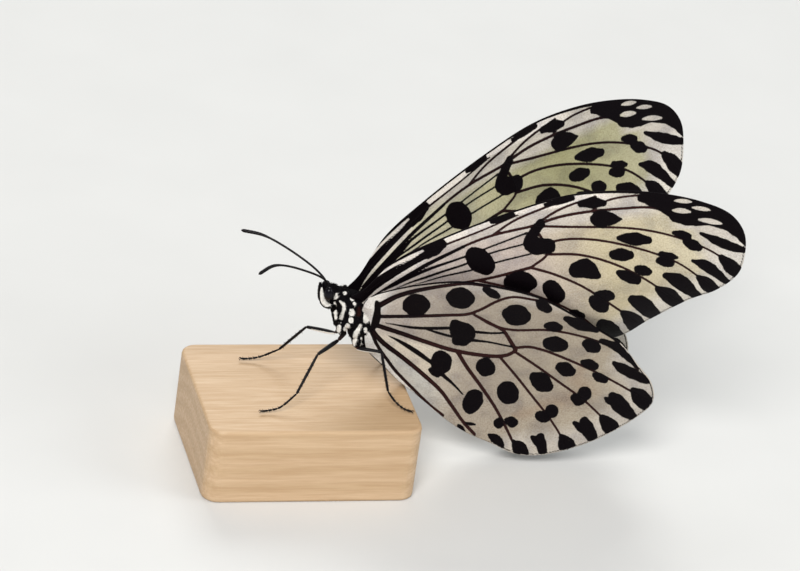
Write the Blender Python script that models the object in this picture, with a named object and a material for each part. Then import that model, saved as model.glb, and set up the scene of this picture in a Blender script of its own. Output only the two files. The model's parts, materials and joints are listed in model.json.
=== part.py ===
"""Common tree nymph at rest with its wings closed over its back, life size, on a plain wooden block.

The head points to -X, the animal's left side to -Y, and the underside of the block lies at Z = 0.
Lengths are written in millimetres and scaled by MM. Body places are given as (back, side, up):
back runs from the head along the sloping body, side to the animal's right, up to its back.
Wing places are given as (out, across): out runs from the hinge to the tip, across to the rear edge.
"""
import math

import bmesh
import bpy
from mathutils import Matrix, Vector
from mathutils.geometry import delaunay_2d_cdt

MM = 0.001
GAP = 0.3
SHARP_ANGLE = math.radians(50)

BLOCK_SIZE = (40.0, 32.0, 15.0)
BLOCK_CORNER = 3.0
BLOCK_EDGE = 0.6
CORNER_STEPS = 6
EDGE_STEPS = 3

BODY_ORIGIN = Vector((3.6, 0.0, 34.4))
BODY_PITCH = 46.2
BODY_SIDES = 20
TIP_ROUNDING = 0.7

HEAD_CENTRE = (3.3, 0.0, 35.3)
HEAD_RADII = (1.5, 1.75, 1.95)
HEAD_FACES = (18, 12)
EYE_CENTRE = (2.35, 1.75, 35.7)
EYE_RADII = (1.12, 0.98, 1.4)

ANTENNA_RADIUS = 0.26
CLUB_RADIUS = 0.37
CLUB_START = 0.72
CLUB_SWELLING = 1.5
ANTENNA_STEP = 1.4
LEFT_ANTENNA = (
    (2.4, -0.45, 36.2), (1.75, -0.7, 37.9), (-2.5, -2.8, 41.1), (-9.8, -6.2, 44.3), (-13.0, -7.8, 43.4),
)
RIGHT_ANTENNA = (
    (2.4, 0.45, 36.2), (1.75, 0.7, 37.6), (-0.9, 2.2, 39.8), (-8.8, 6.5, 43.3), (-13.1, 8.0, 43.7),
)

PALP_LINE = ((3.6, 1.05, 33.4), (2.4, 1.05, 33.1), (1.1, 1.05, 33.9), (0.68, 1.0, 35.5), (0.75, 0.85, 37.3))
PALP_RADII = (0.42, 0.48, 0.5, 0.45, 0.2)
PALP_SIDES = 10
PALP_STEP = 0.7

COIL_CENTRE = (2.3, 0.0, 32.6)
COIL_TURNS = 1.25
COIL_INNER = 0.2
COIL_PITCH = 0.82
COIL_RADIUS = 0.26
COIL_INNER_RADIUS = 0.22
COIL_START = -20.0
COIL_RISE = (0.25, 0.0, 0.7)
COIL_STEPS = 18

# Rows of (back, top, bottom, half width).
THORAX_ROWS = (
    (-0.9, 1.7, 0.4, 0.5),
    (-0.3, 2.3, -0.2, 1.2),
    (1.0, 2.9, -0.6, 1.8),
    (2.5, 3.8, -1.1, 2.45),
    (4.4, 4.6, -2.1, 3.0),
    (6.6, 4.9, -3.3, 3.2),
    (8.6, 4.4, -3.6, 2.9),
    (10.3, 3.3, -3.2, 2.3),
    (11.4, 2.2, -2.2, 1.6),
    (11.9, 1.1, -1.0, 0.7),
)
THORAX_STEP = 1.3
ABDOMEN_START = 10.8
ABDOMEN_LENGTH = 27.2
ABDOMEN_RADIUS = 1.9
ABDOMEN_MIDDLE = 0.55
ABDOMEN_DROP = 0.2
SEGMENTS = 9
SEGMENT_STEP = 0.13
# Shares of the abdomen's radius or length.
ABDOMEN_WIDTH = 0.88
ABDOMEN_SIDES = 16
SEGMENT_PARTS = (0.0, 0.45, 0.88, 1.0)
WAIST = 0.55
WAIST_SWELLING = 3.0
TAPER = 0.62
TAPER_START = 0.15
TAPER_POWER = 1.25
TIP = 0.45
TIP_SWELLING = 3.2

LEG_RADIUS = 0.4
SHIN_RADIUS = 0.32
FOOT_RADIUS = 0.27
CLAW_RADII = (0.2, 0.13, 0.08)
SOLE = BLOCK_SIZE[2] + GAP
MID_LEG = ((6.6, 1.2, 27.6), (5.4, 1.3, 25.8), (0.8, 5.0, 25.0), (-3.0, 8.0, 18.4), (-6.1, 9.1, 16.2))
MID_CLAW = (-9.5, 9.4)
HIND_LEG = ((9.0, 1.2, 27.0), (8.7, 2.4, 24.7), (12.9, 4.6, 25.2), (14.5, 7.0, 18.2), (15.9, 8.1, 16.6))
HIND_CLAW = (18.6, 9.8)
LIMB_SIDES = 8
# The heel's place between ankle and claw, and how high it stands over the sole of the foot.
HEEL_PLACE = 0.55
HEEL_RISE = 0.25
# How a knee is rounded: shares of the lengths before and after it, and their limits.
KNEE_BEFORE = (0.14, 0.04)
KNEE_BEFORE_LIMIT = 0.9
KNEE_AFTER = 0.1
KNEE_AFTER_LIMIT = 0.6
# Points of a leg's line that belong to its thigh, and to its thigh and shin.
THIGH_POINTS = 7
SHIN_POINTS = 10
# A claw's root beside the foot, then its bend and its end as (ahead, beside, up) steps.
CLAW_ROOT = 0.08
CLAW_BEND = (0.45, 0.3, 0.02)
CLAW_END = (0.2, 0.05, -0.12)
CLAW_SIDES = 6
FORE_LEG = ((4.4, 1.0, -1.5), (2.1, 1.15, -1.6), (3.6, 1.5, -2.3), (6.0, 1.4, -3.7))
FORE_THIGH_RADII = (0.42, 0.4, 0.36)
FORE_SHANK_RADII = (0.34, 0.36, 0.32, 0.26)

WING_THICKNESS = 0.5
ROOT_THICKNESS = 1.0
VEIN_HEIGHT = 0.16
VEIN_HALF_WIDTH = 0.45
VEIN_TAPER = 0.35
# The ridge's foot lies just inside the lines of points beside the vein.
VEIN_FOOT = 0.98
ROOT_REACH = 4.0

FOREWING_HINGE = (9.4, -2.36, 34.94)
FOREWING_ANGLES = (15.5, 20.6, -1.3)
FOREWING_CAMBER = (0.011, 0.00012)
FOREWING_OUTLINE = (
    (-2.8, -1.3), (0.0, -2.4), (7.2, -7.6), (16.0, -10.4), (29.5, -13.4), (41.0, -15.4), (50.0, -14.5),
    (57.0, -12.5), (63.6, -9.4), (68.4, -5.6), (70.1, -1.2), (69.5, 3.2), (67.2, 8.2), (62.5, 11.5),
    (57.4, 12.9), (49.0, 17.2), (43.0, 21.3), (38.0, 22.0), (30.3, 18.2), (20.4, 11.8), (10.4, 6.0),
    (1.2, 1.4), (-2.8, 0.9),
)
FOREWING_VEINS = {
    "subcosta": ((3.5, -4.3), (7.6, -6.2), (13.7, -8.4), (23.4, -10.9), (31.0, -13.0)),
    "radius": ((3.0, -2.6), (5.3, -3.9), (11.4, -6.4), (25.4, -9.6), (33.1, -10.1)),
    "radius_1": ((25.4, -9.6), (30.0, -11.9), (40.0, -14.6)),
    "radius_2": ((33.1, -10.1), (38.6, -12.7), (45.5, -14.2)),
    "radius_5": ((33.1, -10.1), (38.3, -11.3), (52.8, -10.3), (57.5, -8.3), (61.0, -5.3), (68.6, 0.4)),
    "radius_4": ((45.6, -11.2), (49.5, -12.3), (56.6, -11.3), (67.0, -5.8)),
    "media_1": ((33.1, -10.1), (37.8, -9.0), (51.8, -5.6), (59.0, -1.9), (64.5, 2.8), (66.9, 7.4)),
    "media_2": ((34.4, -6.0), (39.0, -6.0), (46.0, -3.9), (56.8, 2.8), (62.2, 10.6)),
    "media_3": ((34.3, -3.5), (40.1, -2.2), (45.9, 1.1), (50.5, 5.6), (55.5, 13.1)),
    "cubitus_1": ((30.8, -1.2), (34.8, 1.2), (39.5, 5.4), (44.5, 12.9), (46.8, 17.9)),
    "cubitus_2": ((20.8, -0.3), (28.6, 4.0), (36.4, 11.4), (40.4, 21.0)),
    "cubitus": ((3.0, -0.8), (9.4, -1.8), (16.7, -1.0), (23.1, -0.5), (30.8, -1.2)),
    "cell_end": ((33.1, -10.1), (34.4, -6.0), (34.3, -3.5), (30.8, -1.2)),
    "anal": ((3.0, 1.0), (12.0, 4.5), (24.0, 11.0), (35.0, 19.6)),
}

HINDWING_HINGE = (10.55, -3.3, 30.2)
HINDWING_ANGLES = (6.64, -10.4, -9.15)
HINDWING_ARCH = (0.005, -0.12)
# The hindwing's root bends in under the forewing's: how strongly, and over what length and half width.
ROOT_BEND = 0.12
ROOT_BEND_LENGTH = 2.0
ROOT_BEND_WIDTH = 4.0
HINDWING_OUTLINE = (
    (-3.0, -1.4), (-1.4, -2.4), (-1.2, -6.2), (0.6, -9.5), (5.0, -12.9), (11.5, -16.1), (18.0, -17.0),
    (26.7, -16.7), (33.4, -14.5), (40.0, -11.8), (45.1, -9.4), (50.3, -4.9), (54.6, -0.9), (56.4, 3.4),
    (55.2, 7.1), (50.6, 13.6), (46.0, 17.7), (40.2, 21.0), (35.5, 21.9), (29.4, 20.0), (20.5, 17.0),
    (11.4, 11.6), (3.2, 5.5), (0.2, 2.0), (-3.0, 0.9),
)
HINDWING_VEINS = {
    "humeral": ((1.0, -5.0), (5.5, -11.2), (12.5, -15.2)),
    "subcosta": ((2.6, -2.9), (7.9, -4.9), (14.8, -7.6), (17.5, -9.7), (20.9, -14.3), (27.0, -15.8)),
    "radius": ((17.2, -8.4), (24.3, -6.7), (31.8, -8.7), (39.5, -8.8), (45.9, -7.2), (50.8, -3.6)),
    "media_1": ((26.7, -2.9), (32.5, -3.6), (38.7, -2.7), (46.6, 0.0), (55.4, 3.4)),
    "media_2": ((27.3, -1.7), (32.9, 0.3), (39.6, 3.8), (45.7, 7.6), (51.8, 11.2)),
    "media_3": ((25.2, 0.7), (30.7, 5.3), (36.3, 10.1), (44.5, 18.2)),
    "cubitus_1": ((17.1, 1.9), (22.5, 6.9), (28.2, 12.3), (36.4, 21.3)),
    "cubitus": ((2.6, 0.3), (7.7, 0.5), (14.7, 1.3), (22.4, 0.8), (27.1, -1.9)),
    "cell_end": ((17.2, -8.4), (22.8, -6.5), (25.8, -4.5), (26.7, -2.9)),
    "anal_1": ((2.8, 2.2), (7.3, 5.2), (14.4, 9.4), (20.7, 13.4), (26.2, 18.1)),
    "anal_2": ((5.2, 6.9), (8.5, 9.1), (15.9, 13.7), (20.6, 16.5)),
}

WING_EDGE_STEP = 2.4
VEIN_STEP = 3.2
PANEL_STEP = 4.6
# Panel points closer to a line than this share of the step are left out.
PANEL_CLEARANCE = 0.4


def clear_scene():
    for thing in list(bpy.data.objects):
        bpy.data.objects.remove(thing, do_unlink=True)


def material(name, colour, roughness, sheen=0.0):
    made = bpy.data.materials.new(name)
    made.use_nodes = True
    shader = made.node_tree.nodes["Principled BSDF"]
    shader.inputs["Base Color"].default_value = (*colour, 1.0)
    shader.inputs["Roughness"].default_value = roughness
    shader.inputs["Metallic"].default_value = 0.0
    shader.inputs["Sheen Weight"].default_value = sheen
    made.diffuse_color = (*colour, 1.0)
    return made


def new_object(name, mesh, finish=None):
    made = bpy.data.objects.new(name, mesh)
    bpy.context.scene.collection.objects.link(made)
    if finish:
        mesh.materials.append(finish)
        mesh.shade_smooth()
        mesh.set_sharp_from_angle(angle=SHARP_ANGLE)
    return made


def finished_mesh(name, shape):
    """A mesh in metres from a bmesh in millimetres, with its faces pointing out."""
    bmesh.ops.recalc_face_normals(shape, faces=shape.faces)
    if shape.calc_volume(signed=True) < 0:
        bmesh.ops.reverse_faces(shape, faces=shape.faces)
    bmesh.ops.scale(shape, vec=(MM, MM, MM), verts=shape.verts)
    mesh = bpy.data.meshes.new(name)
    shape.to_mesh(mesh)
    shape.free()
    return mesh


def mirrored(point, side):
    return Vector((point[0], point[1] * side, point[2]))


def body_axes():
    pitch = math.radians(BODY_PITCH)
    back = Vector((math.cos(pitch), 0.0, -math.sin(pitch)))
    up = Vector((math.sin(pitch), 0.0, math.cos(pitch)))
    return back, up


def body_point(back, side, up):
    along, over = body_axes()
    return BODY_ORIGIN + along * back + Vector((0.0, side, 0.0)) + over * up


def curve_between(points, place):
    """The point at a place from 0 to 1 between the two middle ones of four, on a rounded curve."""
    knots = [0.0]
    for start, end in zip(points, points[1:]):
        knots.append(knots[-1] + max((end - start).length, 1e-6) ** 0.5)
    at = knots[1] + (knots[2] - knots[1]) * place
    row = list(points)
    for span in (1, 2, 3):
        reach = [(knots[i], knots[i + span]) for i in range(4 - span)]
        if span == 3:
            reach = [(knots[1], knots[2])]
        elif span == 2:
            reach = [(knots[0], knots[2]), (knots[1], knots[3])]
        row = [a * ((end - at) / (end - start)) + b * ((at - start) / (end - start))
               for a, b, (start, end) in zip(row, row[1:], reach)]
    return row[0]


def smooth_line(points, step):
    """Points spread about evenly on a smooth curve through the given ones, which it keeps."""
    line = [Vector(point) for point in points]
    first = line[0] * 2 - line[1]
    last = line[-1] * 2 - line[-2]
    padded = [first, *line, last]
    made = []
    for four in zip(padded, padded[1:], padded[2:], padded[3:]):
        pieces = max(1, round((four[2] - four[1]).length / step))
        made += [curve_between(four, i / pieces) for i in range(pieces)]
    return made + [line[-1]]


def add_ring(shape, centre, across, over, sides):
    ring = []
    for i in range(sides):
        turn = math.tau * i / sides
        ring.append(shape.verts.new(centre + across * math.cos(turn) + over * math.sin(turn)))
    return ring


def join_rings(shape, rings):
    for low, high in zip(rings, rings[1:]):
        for i in range(len(low)):
            j = (i + 1) % len(low)
            shape.faces.new((low[i], low[j], high[j], high[i]))


def close_ring(shape, ring, tip):
    pole = shape.verts.new(tip)
    for i in range(len(ring)):
        shape.faces.new((ring[i], ring[(i + 1) % len(ring)], pole))


def tube_shape(points, radii, sides):
    """A round tube along the points with rounded ends, thick as the radii say."""
    line = [Vector(point) for point in points]
    shape = bmesh.new()
    rings = []
    across = None
    count = len(line)
    for i, centre in enumerate(line):
        ahead = (line[min(i + 1, count - 1)] - line[max(i - 1, 0)]).normalized()
        if across is None:
            across = ahead.orthogonal().normalized()
        across = (across - ahead * across.dot(ahead)).normalized()
        over = ahead.cross(across)
        radius = radii[i]
        tip_radius = radius * TIP_ROUNDING
        if i == 0:
            back = centre - ahead * tip_radius
            rings.append(add_ring(shape, back, across * tip_radius, over * tip_radius, sides))
            start_tip = centre - ahead * radius
        rings.append(add_ring(shape, centre, across * radius, over * radius, sides))
        if i == count - 1:
            front = centre + ahead * tip_radius
            rings.append(add_ring(shape, front, across * tip_radius, over * tip_radius, sides))
            end_tip = centre + ahead * radius
    join_rings(shape, rings)
    close_ring(shape, rings[0], start_tip)
    close_ring(shape, rings[-1], end_tip)
    return shape


def spread_radii(radii, count):
    """The radii spread evenly over the given number of points."""
    made = []
    for i in range(count):
        place = i / (count - 1) * (len(radii) - 1)
        low = min(int(place), len(radii) - 2)
        made.append(radii[low] + (radii[low + 1] - radii[low]) * (place - low))
    return made


def tube(name, points, radii, sides=8, finish=None):
    shape = tube_shape(points, spread_radii(radii, len(points)), sides)
    return new_object(name, finished_mesh(name, shape), finish)


def body_shape(rows, grow, sides):
    """A closed body whose cross-sections are ellipses, from rows of (back, top, bottom, half width)."""
    shape = bmesh.new()
    _, over = body_axes()
    rings = []
    for i, (back, top, bottom, half_width) in enumerate(rows):
        longer = grow * (2 * i / (len(rows) - 1) - 1)
        centre = body_point(back + longer, 0.0, (top + bottom) / 2)
        height = (top - bottom) / 2 + grow
        rings.append(add_ring(shape, centre, Vector((0.0, half_width + grow, 0.0)), over * height, sides))
    join_rings(shape, rings)
    for row, ring, way in ((rows[0], rings[0], -1), (rows[-1], rings[-1], 1)):
        reach = min(row[3], (row[1] - row[2]) / 2) * 0.5 + grow
        close_ring(shape, ring, body_point(row[0] + way * reach, 0.0, (row[1] + row[2]) / 2))
    return shape


def ball_shape(centre, radii, grow=0.0, sides=16, rows=10):
    shape = bmesh.new()
    bmesh.ops.create_uvsphere(shape, u_segments=sides, v_segments=rows, radius=1.0)
    size = [radius + grow for radius in radii]
    bmesh.ops.transform(shape, matrix=Matrix.Translation(centre) @ Matrix.Diagonal((*size, 1.0)),
                        verts=shape.verts)
    return shape


def largest_body(mesh):
    """Keeps the largest closed surface of the mesh and drops loose scraps."""
    shape = bmesh.new()
    shape.from_mesh(mesh)
    shape.verts.ensure_lookup_table()
    groups = []
    seen = set()
    for start in shape.verts:
        if start in seen:
            continue
        group = {start}
        front = [start]
        while front:
            for edge in front.pop().link_edges:
                for end in edge.verts:
                    if end not in group:
                        group.add(end)
                        front.append(end)
        seen |= group
        groups.append(group)
    keep = max(groups, key=len)
    bmesh.ops.delete(shape, geom=[vert for vert in shape.verts if vert not in keep], context="VERTS")
    shape.to_mesh(mesh)
    shape.free()


def combine(body, others, operation):
    """Joins the other objects to the body or cuts them from it, and removes them."""
    holder = bpy.data.collections.new("pieces")
    for other in others:
        other.hide_render = True
        other.display_type = "WIRE"
        holder.objects.link(other)
    change = body.modifiers.new("pieces", "BOOLEAN")
    change.operation = operation
    change.operand_type = "COLLECTION"
    change.collection = holder
    change.solver = "EXACT"
    bpy.context.view_layer.update()
    seen = body.evaluated_get(bpy.context.evaluated_depsgraph_get())
    mesh = bpy.data.meshes.new_from_object(seen)
    body.modifiers.remove(change)
    body.data = mesh
    largest_body(mesh)
    for other in others:
        bpy.data.objects.remove(other, do_unlink=True)
    bpy.data.collections.remove(holder)
    mesh.shade_smooth()
    mesh.set_sharp_from_angle(angle=SHARP_ANGLE)


def thorax_rows():
    return smooth_line(THORAX_ROWS, THORAX_STEP)


def grown_thorax():
    shape = body_shape(thorax_rows(), GAP, BODY_SIDES)
    return new_object("thorax_cutter", finished_mesh("thorax_cutter", shape))


def grown_head():
    shape = ball_shape(HEAD_CENTRE, HEAD_RADII, GAP, *HEAD_FACES)
    return new_object("head_cutter", finished_mesh("head_cutter", shape))


def make_block(finish):
    """The plain block with rounded upright corners that the feet stand on."""
    shape = bmesh.new()
    bmesh.ops.create_cube(shape, size=1.0)
    place = Matrix.Translation((0.0, 0.0, BLOCK_SIZE[2] / 2)) @ Matrix.Diagonal((*BLOCK_SIZE, 1.0))
    bmesh.ops.transform(shape, matrix=place, verts=shape.verts)
    uprights = [edge for edge in shape.edges if abs(edge.verts[0].co.z - edge.verts[1].co.z) > 1.0]
    bmesh.ops.bevel(shape, geom=uprights, offset=BLOCK_CORNER, segments=CORNER_STEPS, profile=0.5,
                    affect="EDGES")
    rims = [edge for edge in shape.edges if abs(edge.verts[0].co.z - edge.verts[1].co.z) < 1e-4]
    bmesh.ops.bevel(shape, geom=rims, offset=BLOCK_EDGE, segments=EDGE_STEPS, profile=0.5, affect="EDGES")
    bmesh.ops.triangulate(shape, faces=[face for face in shape.faces if len(face.verts) > 4])
    return new_object("stand_base", finished_mesh("stand_base", shape), finish)


def make_head(finish):
    shape = ball_shape(HEAD_CENTRE, HEAD_RADII, 0.0, *HEAD_FACES)
    head = new_object("head", finished_mesh("head", shape), finish)
    sockets = []
    for side in (-1, 1):
        shape = ball_shape(mirrored(EYE_CENTRE, side), EYE_RADII, GAP)
        sockets.append(new_object("socket", finished_mesh("socket", shape)))
    combine(head, sockets, "DIFFERENCE")


def make_eye(name, side, finish):
    new_object(name, finished_mesh(name, ball_shape(mirrored(EYE_CENTRE, side), EYE_RADII)), finish)


def make_palp(name, side, finish):
    line = smooth_line([mirrored(point, side) for point in PALP_LINE], PALP_STEP)
    palp = tube(name, line, PALP_RADII, PALP_SIDES, finish)
    combine(palp, [grown_head(), grown_thorax()], "DIFFERENCE")


def make_proboscis(finish):
    """The drinking tube, coiled under the head between the palps."""
    points = []
    for i in range(COIL_STEPS + 1):
        turn = COIL_TURNS * i / COIL_STEPS
        radius = COIL_INNER + COIL_PITCH * turn
        angle = math.tau * turn + math.radians(COIL_START)
        points.append(Vector(COIL_CENTRE) + Vector((-math.cos(angle), 0.0, -math.sin(angle))) * radius)
    points.append(points[-1] + Vector(COIL_RISE))
    proboscis = tube("proboscis", points, (COIL_INNER_RADIUS, COIL_RADIUS), LIMB_SIDES, finish)
    combine(proboscis, [grown_head(), grown_thorax()], "DIFFERENCE")


def make_antenna(name, points, finish):
    """A thin feeler that thickens into a slender club over its last fifth."""
    line = smooth_line(points, ANTENNA_STEP)
    radii = []
    for i in range(len(line)):
        place = i / (len(line) - 1)
        club = CLUB_SWELLING * max(0.0, (place - CLUB_START) / (1.0 - CLUB_START))
        radii.append(ANTENNA_RADIUS + (CLUB_RADIUS - ANTENNA_RADIUS) * math.sin(min(1.0, club) * math.pi / 2))
    shape = tube_shape(line, radii, LIMB_SIDES)
    antenna = new_object(name, finished_mesh(name, shape), finish)
    combine(antenna, [grown_head()], "DIFFERENCE")


def make_thorax(finish):
    thorax = new_object("thorax", finished_mesh("thorax", body_shape(thorax_rows(), 0.0, BODY_SIDES)), finish)
    combine(thorax, [grown_head()], "DIFFERENCE")


def abdomen_radius(place):
    """Half height of the abdomen at a place from 0 at its waist to 1 at its tip."""
    waist = min(1.0, WAIST + WAIST_SWELLING * place)
    taper = 1.0 - TAPER * max(0.0, place - TAPER_START) ** TAPER_POWER
    tip = min(1.0, TIP + TIP_SWELLING * (1.0 - place))
    return ABDOMEN_RADIUS * waist * taper * tip


def make_abdomen(finish):
    """A long slender body of ringed segments, each a little wider at its rear edge."""
    rows = []
    for segment in range(SEGMENTS):
        for part in SEGMENT_PARTS:
            if part == 1.0 and segment < SEGMENTS - 1:
                continue
            place = (segment + part) / SEGMENTS
            radius = abdomen_radius(place) - (SEGMENT_STEP if part in (0.0, 1.0) else 0.0)
            middle = ABDOMEN_MIDDLE - ABDOMEN_DROP * place
            back = ABDOMEN_START + ABDOMEN_LENGTH * place
            rows.append((back, middle + radius, middle - radius, radius * ABDOMEN_WIDTH))
    abdomen = new_object("abdomen", finished_mesh("abdomen", body_shape(rows, 0.0, ABDOMEN_SIDES)), finish)
    combine(abdomen, [grown_thorax()], "DIFFERENCE")


def leg_line(points, claw):
    """The leg's centre line with its knees rounded off and its foot laid along the block."""
    line = [Vector(point) for point in points]
    tip = Vector((claw[0], claw[1], SOLE + FOOT_RADIUS))
    heel = line[-1].lerp(tip, HEEL_PLACE)
    heel.z = SOLE + FOOT_RADIUS + HEEL_RISE
    made = [line[0]]
    for before, at, after in zip(line, line[1:], line[2:] + [heel]):
        for reach in KNEE_BEFORE:
            made.append(at.lerp(before, min(reach, KNEE_BEFORE_LIMIT / (at - before).length)))
        made.append(at.lerp(after, min(KNEE_AFTER, KNEE_AFTER_LIMIT / (at - after).length)))
    return made + [heel, tip]


def claw_step(start, step, ahead, beside):
    return start + ahead * step[0] + beside * step[1] + Vector((0.0, 0.0, step[2]))


def make_leg(name, points, claw, side, finish):
    line = leg_line([mirrored(point, side) for point in points], (claw[0], claw[1] * side))
    count = len(line)
    radii = []
    for i in range(count):
        if i < THIGH_POINTS:
            radii.append(LEG_RADIUS)
        elif i < SHIN_POINTS:
            radii.append(SHIN_RADIUS)
        else:
            radii.append(FOOT_RADIUS)
    leg = new_object(name, finished_mesh(name, tube_shape(line, radii, LIMB_SIDES)), finish)
    ahead = (line[-1] - line[-2]).normalized()
    beside = ahead.cross(Vector((0.0, 0.0, 1.0)))
    claws = []
    for way in (-1, 1):
        start = line[-1] + beside * way * CLAW_ROOT
        bend = claw_step(start, CLAW_BEND, ahead, beside * way)
        end = claw_step(bend, CLAW_END, ahead, beside * way)
        claws.append(tube("claw", [start, bend, end], CLAW_RADII, CLAW_SIDES))
    combine(leg, claws, "UNION")
    combine(leg, [grown_thorax()], "DIFFERENCE")


def make_foreleg(name, side, finish):
    """A short front leg folded against the chest, as in all butterflies of this family."""
    hip, knee, shin, toe = [body_point(back, across * side, up) for back, across, up in FORE_LEG]
    thigh = tube(name, [hip, hip.lerp(knee, 0.5), knee], FORE_THIGH_RADII, LIMB_SIDES, finish)
    shank = tube("shank", [knee, shin, shin.lerp(toe, 0.5), toe], FORE_SHANK_RADII, LIMB_SIDES)
    combine(thigh, [shank], "UNION")
    combine(thigh, [grown_thorax()], "DIFFERENCE")


def nearest_on(point, line):
    """Distance from the point to a line of many short pieces, and how far along it the nearest place is."""
    best = (math.inf, 0.0)
    for i, (start, end) in enumerate(zip(line, line[1:])):
        span = end - start
        place = min(1.0, max(0.0, (point - start).dot(span) / span.length_squared))
        away = (point - start - span * place).length
        if away < best[0]:
            best = (away, (i + place) / (len(line) - 1))
    return best


def vein_lines(veins):
    return {name: smooth_line(points, VEIN_STEP) for name, points in veins.items()}


def vein_flank(line, way):
    """A line beside a vein, at the foot of its ridge, ending where the vein ends."""
    made = []
    for i, point in enumerate(line):
        ahead = (line[min(i + 1, len(line) - 1)] - line[max(i - 1, 0)]).normalized()
        half_width = VEIN_HALF_WIDTH * (1.0 - VEIN_TAPER * i / (len(line) - 1))
        made.append(point + Vector((-ahead.y, ahead.x)) * half_width * way)
    return made


def ridge_height(point, lines):
    """How far the surface stands above the membrane at a point, from the nearest vein."""
    best = 0.0
    for line in lines.values():
        away, place = nearest_on(point, line)
        half_width = VEIN_HALF_WIDTH * (1.0 - VEIN_TAPER * place)
        best = max(best, 1.0 - away / (half_width * VEIN_FOOT))
    return VEIN_HEIGHT * best


def wing_triangles(outline, veins):
    """The wing's flat plan as triangles whose edges follow its outline and its veins."""
    rim = smooth_line(outline, WING_EDGE_STEP)
    lines = vein_lines(veins)
    points = list(rim)
    edges = [(i, (i + 1) % len(rim)) for i in range(len(rim))]
    for line in lines.values():
        for track in (line, vein_flank(line, -1), vein_flank(line, 1)):
            first = len(points)
            points += track
            edges += [(first + i, first + i + 1) for i in range(len(track) - 1)]
    closed_rim = rim + [rim[0]]
    low = Vector((min(point.x for point in rim), min(point.y for point in rim)))
    high = Vector((max(point.x for point in rim), max(point.y for point in rim)))
    for row in range(int((high.y - low.y) / PANEL_STEP) + 1):
        for column in range(int((high.x - low.x) / PANEL_STEP) + 1):
            shift = PANEL_STEP / 2 if row % 2 else 0.0
            point = low + Vector((column * PANEL_STEP + shift, row * PANEL_STEP))
            clear = min(nearest_on(point, line)[0] for line in (closed_rim, *lines.values()))
            if clear > PANEL_CLEARANCE * PANEL_STEP:
                points.append(point)
    flat, _, faces, *_ = delaunay_2d_cdt(points, edges, [], 1, 1e-4)
    return flat, faces, lines


def wing_axes(angles):
    """Directions out, across and outward of the left wing, from its spread, rise and twist."""
    spread, rise, twist = (math.radians(angle) for angle in angles)
    out = Vector((math.cos(rise) * math.cos(spread), -math.sin(spread), math.sin(rise) * math.cos(spread)))
    across = Vector((math.sin(rise), 0.0, -math.cos(rise)))
    outward = across.cross(out)
    return (out, across * math.cos(twist) + outward * math.sin(twist),
            outward * math.cos(twist) - across * math.sin(twist))


def forewing_bow(point):
    square, cube = FOREWING_CAMBER
    low = max(point.y, 0.0)
    return -square * low ** 2 - cube * low ** 3


def hindwing_bow(point):
    square, line = HINDWING_ARCH
    root = max(0.0, ROOT_BEND_LENGTH - point.x)
    stem = max(0.0, 1.0 - abs(point.y) / ROOT_BEND_WIDTH)
    return square * point.y ** 2 + line * point.y - ROOT_BEND * stem * root ** 2


def make_wing(name, hinge, angles, outline, veins, bow, side, finish):
    """A thin wing with its veins raised on both faces, its root cut to the flank of the thorax."""
    flat, faces, lines = wing_triangles(outline, veins)
    out, across, outward = wing_axes(angles)
    shape = bmesh.new()
    layers = []
    for way in (1, -1):
        layer = []
        for point in flat:
            root = min(1.0, max(0.0, 1.0 - point.x / ROOT_REACH))
            half = (WING_THICKNESS + (ROOT_THICKNESS - WING_THICKNESS) * root) / 2
            lift = bow(point) + way * (half + ridge_height(point, lines))
            place = Vector(hinge) + out * point.x + across * point.y + outward * lift
            layer.append(shape.verts.new(mirrored(place, -side)))
        layers.append(layer)
    for corners in faces:
        shape.faces.new([layers[0][i] for i in corners])
        shape.faces.new([layers[1][i] for i in reversed(corners)])
    sides = [edge for edge in shape.edges if edge.is_boundary and edge.verts[0] in layers[0]]
    partner = dict(zip(layers[0], layers[1]))
    for edge in sides:
        start, end = edge.verts
        shape.faces.new((start, end, partner[end], partner[start]))
    bmesh.ops.triangulate(shape, faces=[face for face in shape.faces if len(face.verts) > 3])
    wing = new_object(name, finished_mesh(name, shape), finish)
    combine(wing, [grown_thorax()], "DIFFERENCE")


def build():
    clear_scene()
    wood = material("pale_wood", (0.62, 0.44, 0.27), 0.55)
    black = material("black_hair", (0.02, 0.018, 0.02), 0.7, 0.3)
    horn = material("black_horn", (0.015, 0.014, 0.016), 0.4)
    eye = material("eye", (0.012, 0.01, 0.015), 0.12)
    cream = material("wing_scales", (0.66, 0.6, 0.52), 0.75, 0.2)
    make_block(wood)
    make_head(black)
    make_thorax(black)
    make_abdomen(black)
    make_proboscis(horn)
    make_antenna("antenna_left", LEFT_ANTENNA, horn)
    make_antenna("antenna_right", RIGHT_ANTENNA, horn)
    for word, side in (("left", -1), ("right", 1)):
        make_eye("eye_" + word, side, eye)
        make_palp("palp_" + word, side, black)
        make_foreleg("foreleg_" + word, side, black)
        make_leg("midleg_" + word, MID_LEG, MID_CLAW, side, horn)
        make_leg("hindleg_" + word, HIND_LEG, HIND_CLAW, side, horn)
        make_wing("forewing_" + word, FOREWING_HINGE, FOREWING_ANGLES, FOREWING_OUTLINE, FOREWING_VEINS,
                  forewing_bow, side, cream)
        make_wing("hindwing_" + word, HINDWING_HINGE, HINDWING_ANGLES, HINDWING_OUTLINE, HINDWING_VEINS,
                  hindwing_bow, side, cream)


build()
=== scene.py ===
# %% [markdown]
# # A tree nymph butterfly, life size
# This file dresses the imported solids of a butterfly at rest: big pale wings with black veins and spots,
# a slim black body with white spots, long thin feelers, and a plain wooden block under its feet.
# Each step first says what the real thing is like and how it could be made, and then makes it.
# The solids stay as they are. A finer piece rides on the same body and takes a solid's place in the picture.

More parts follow.
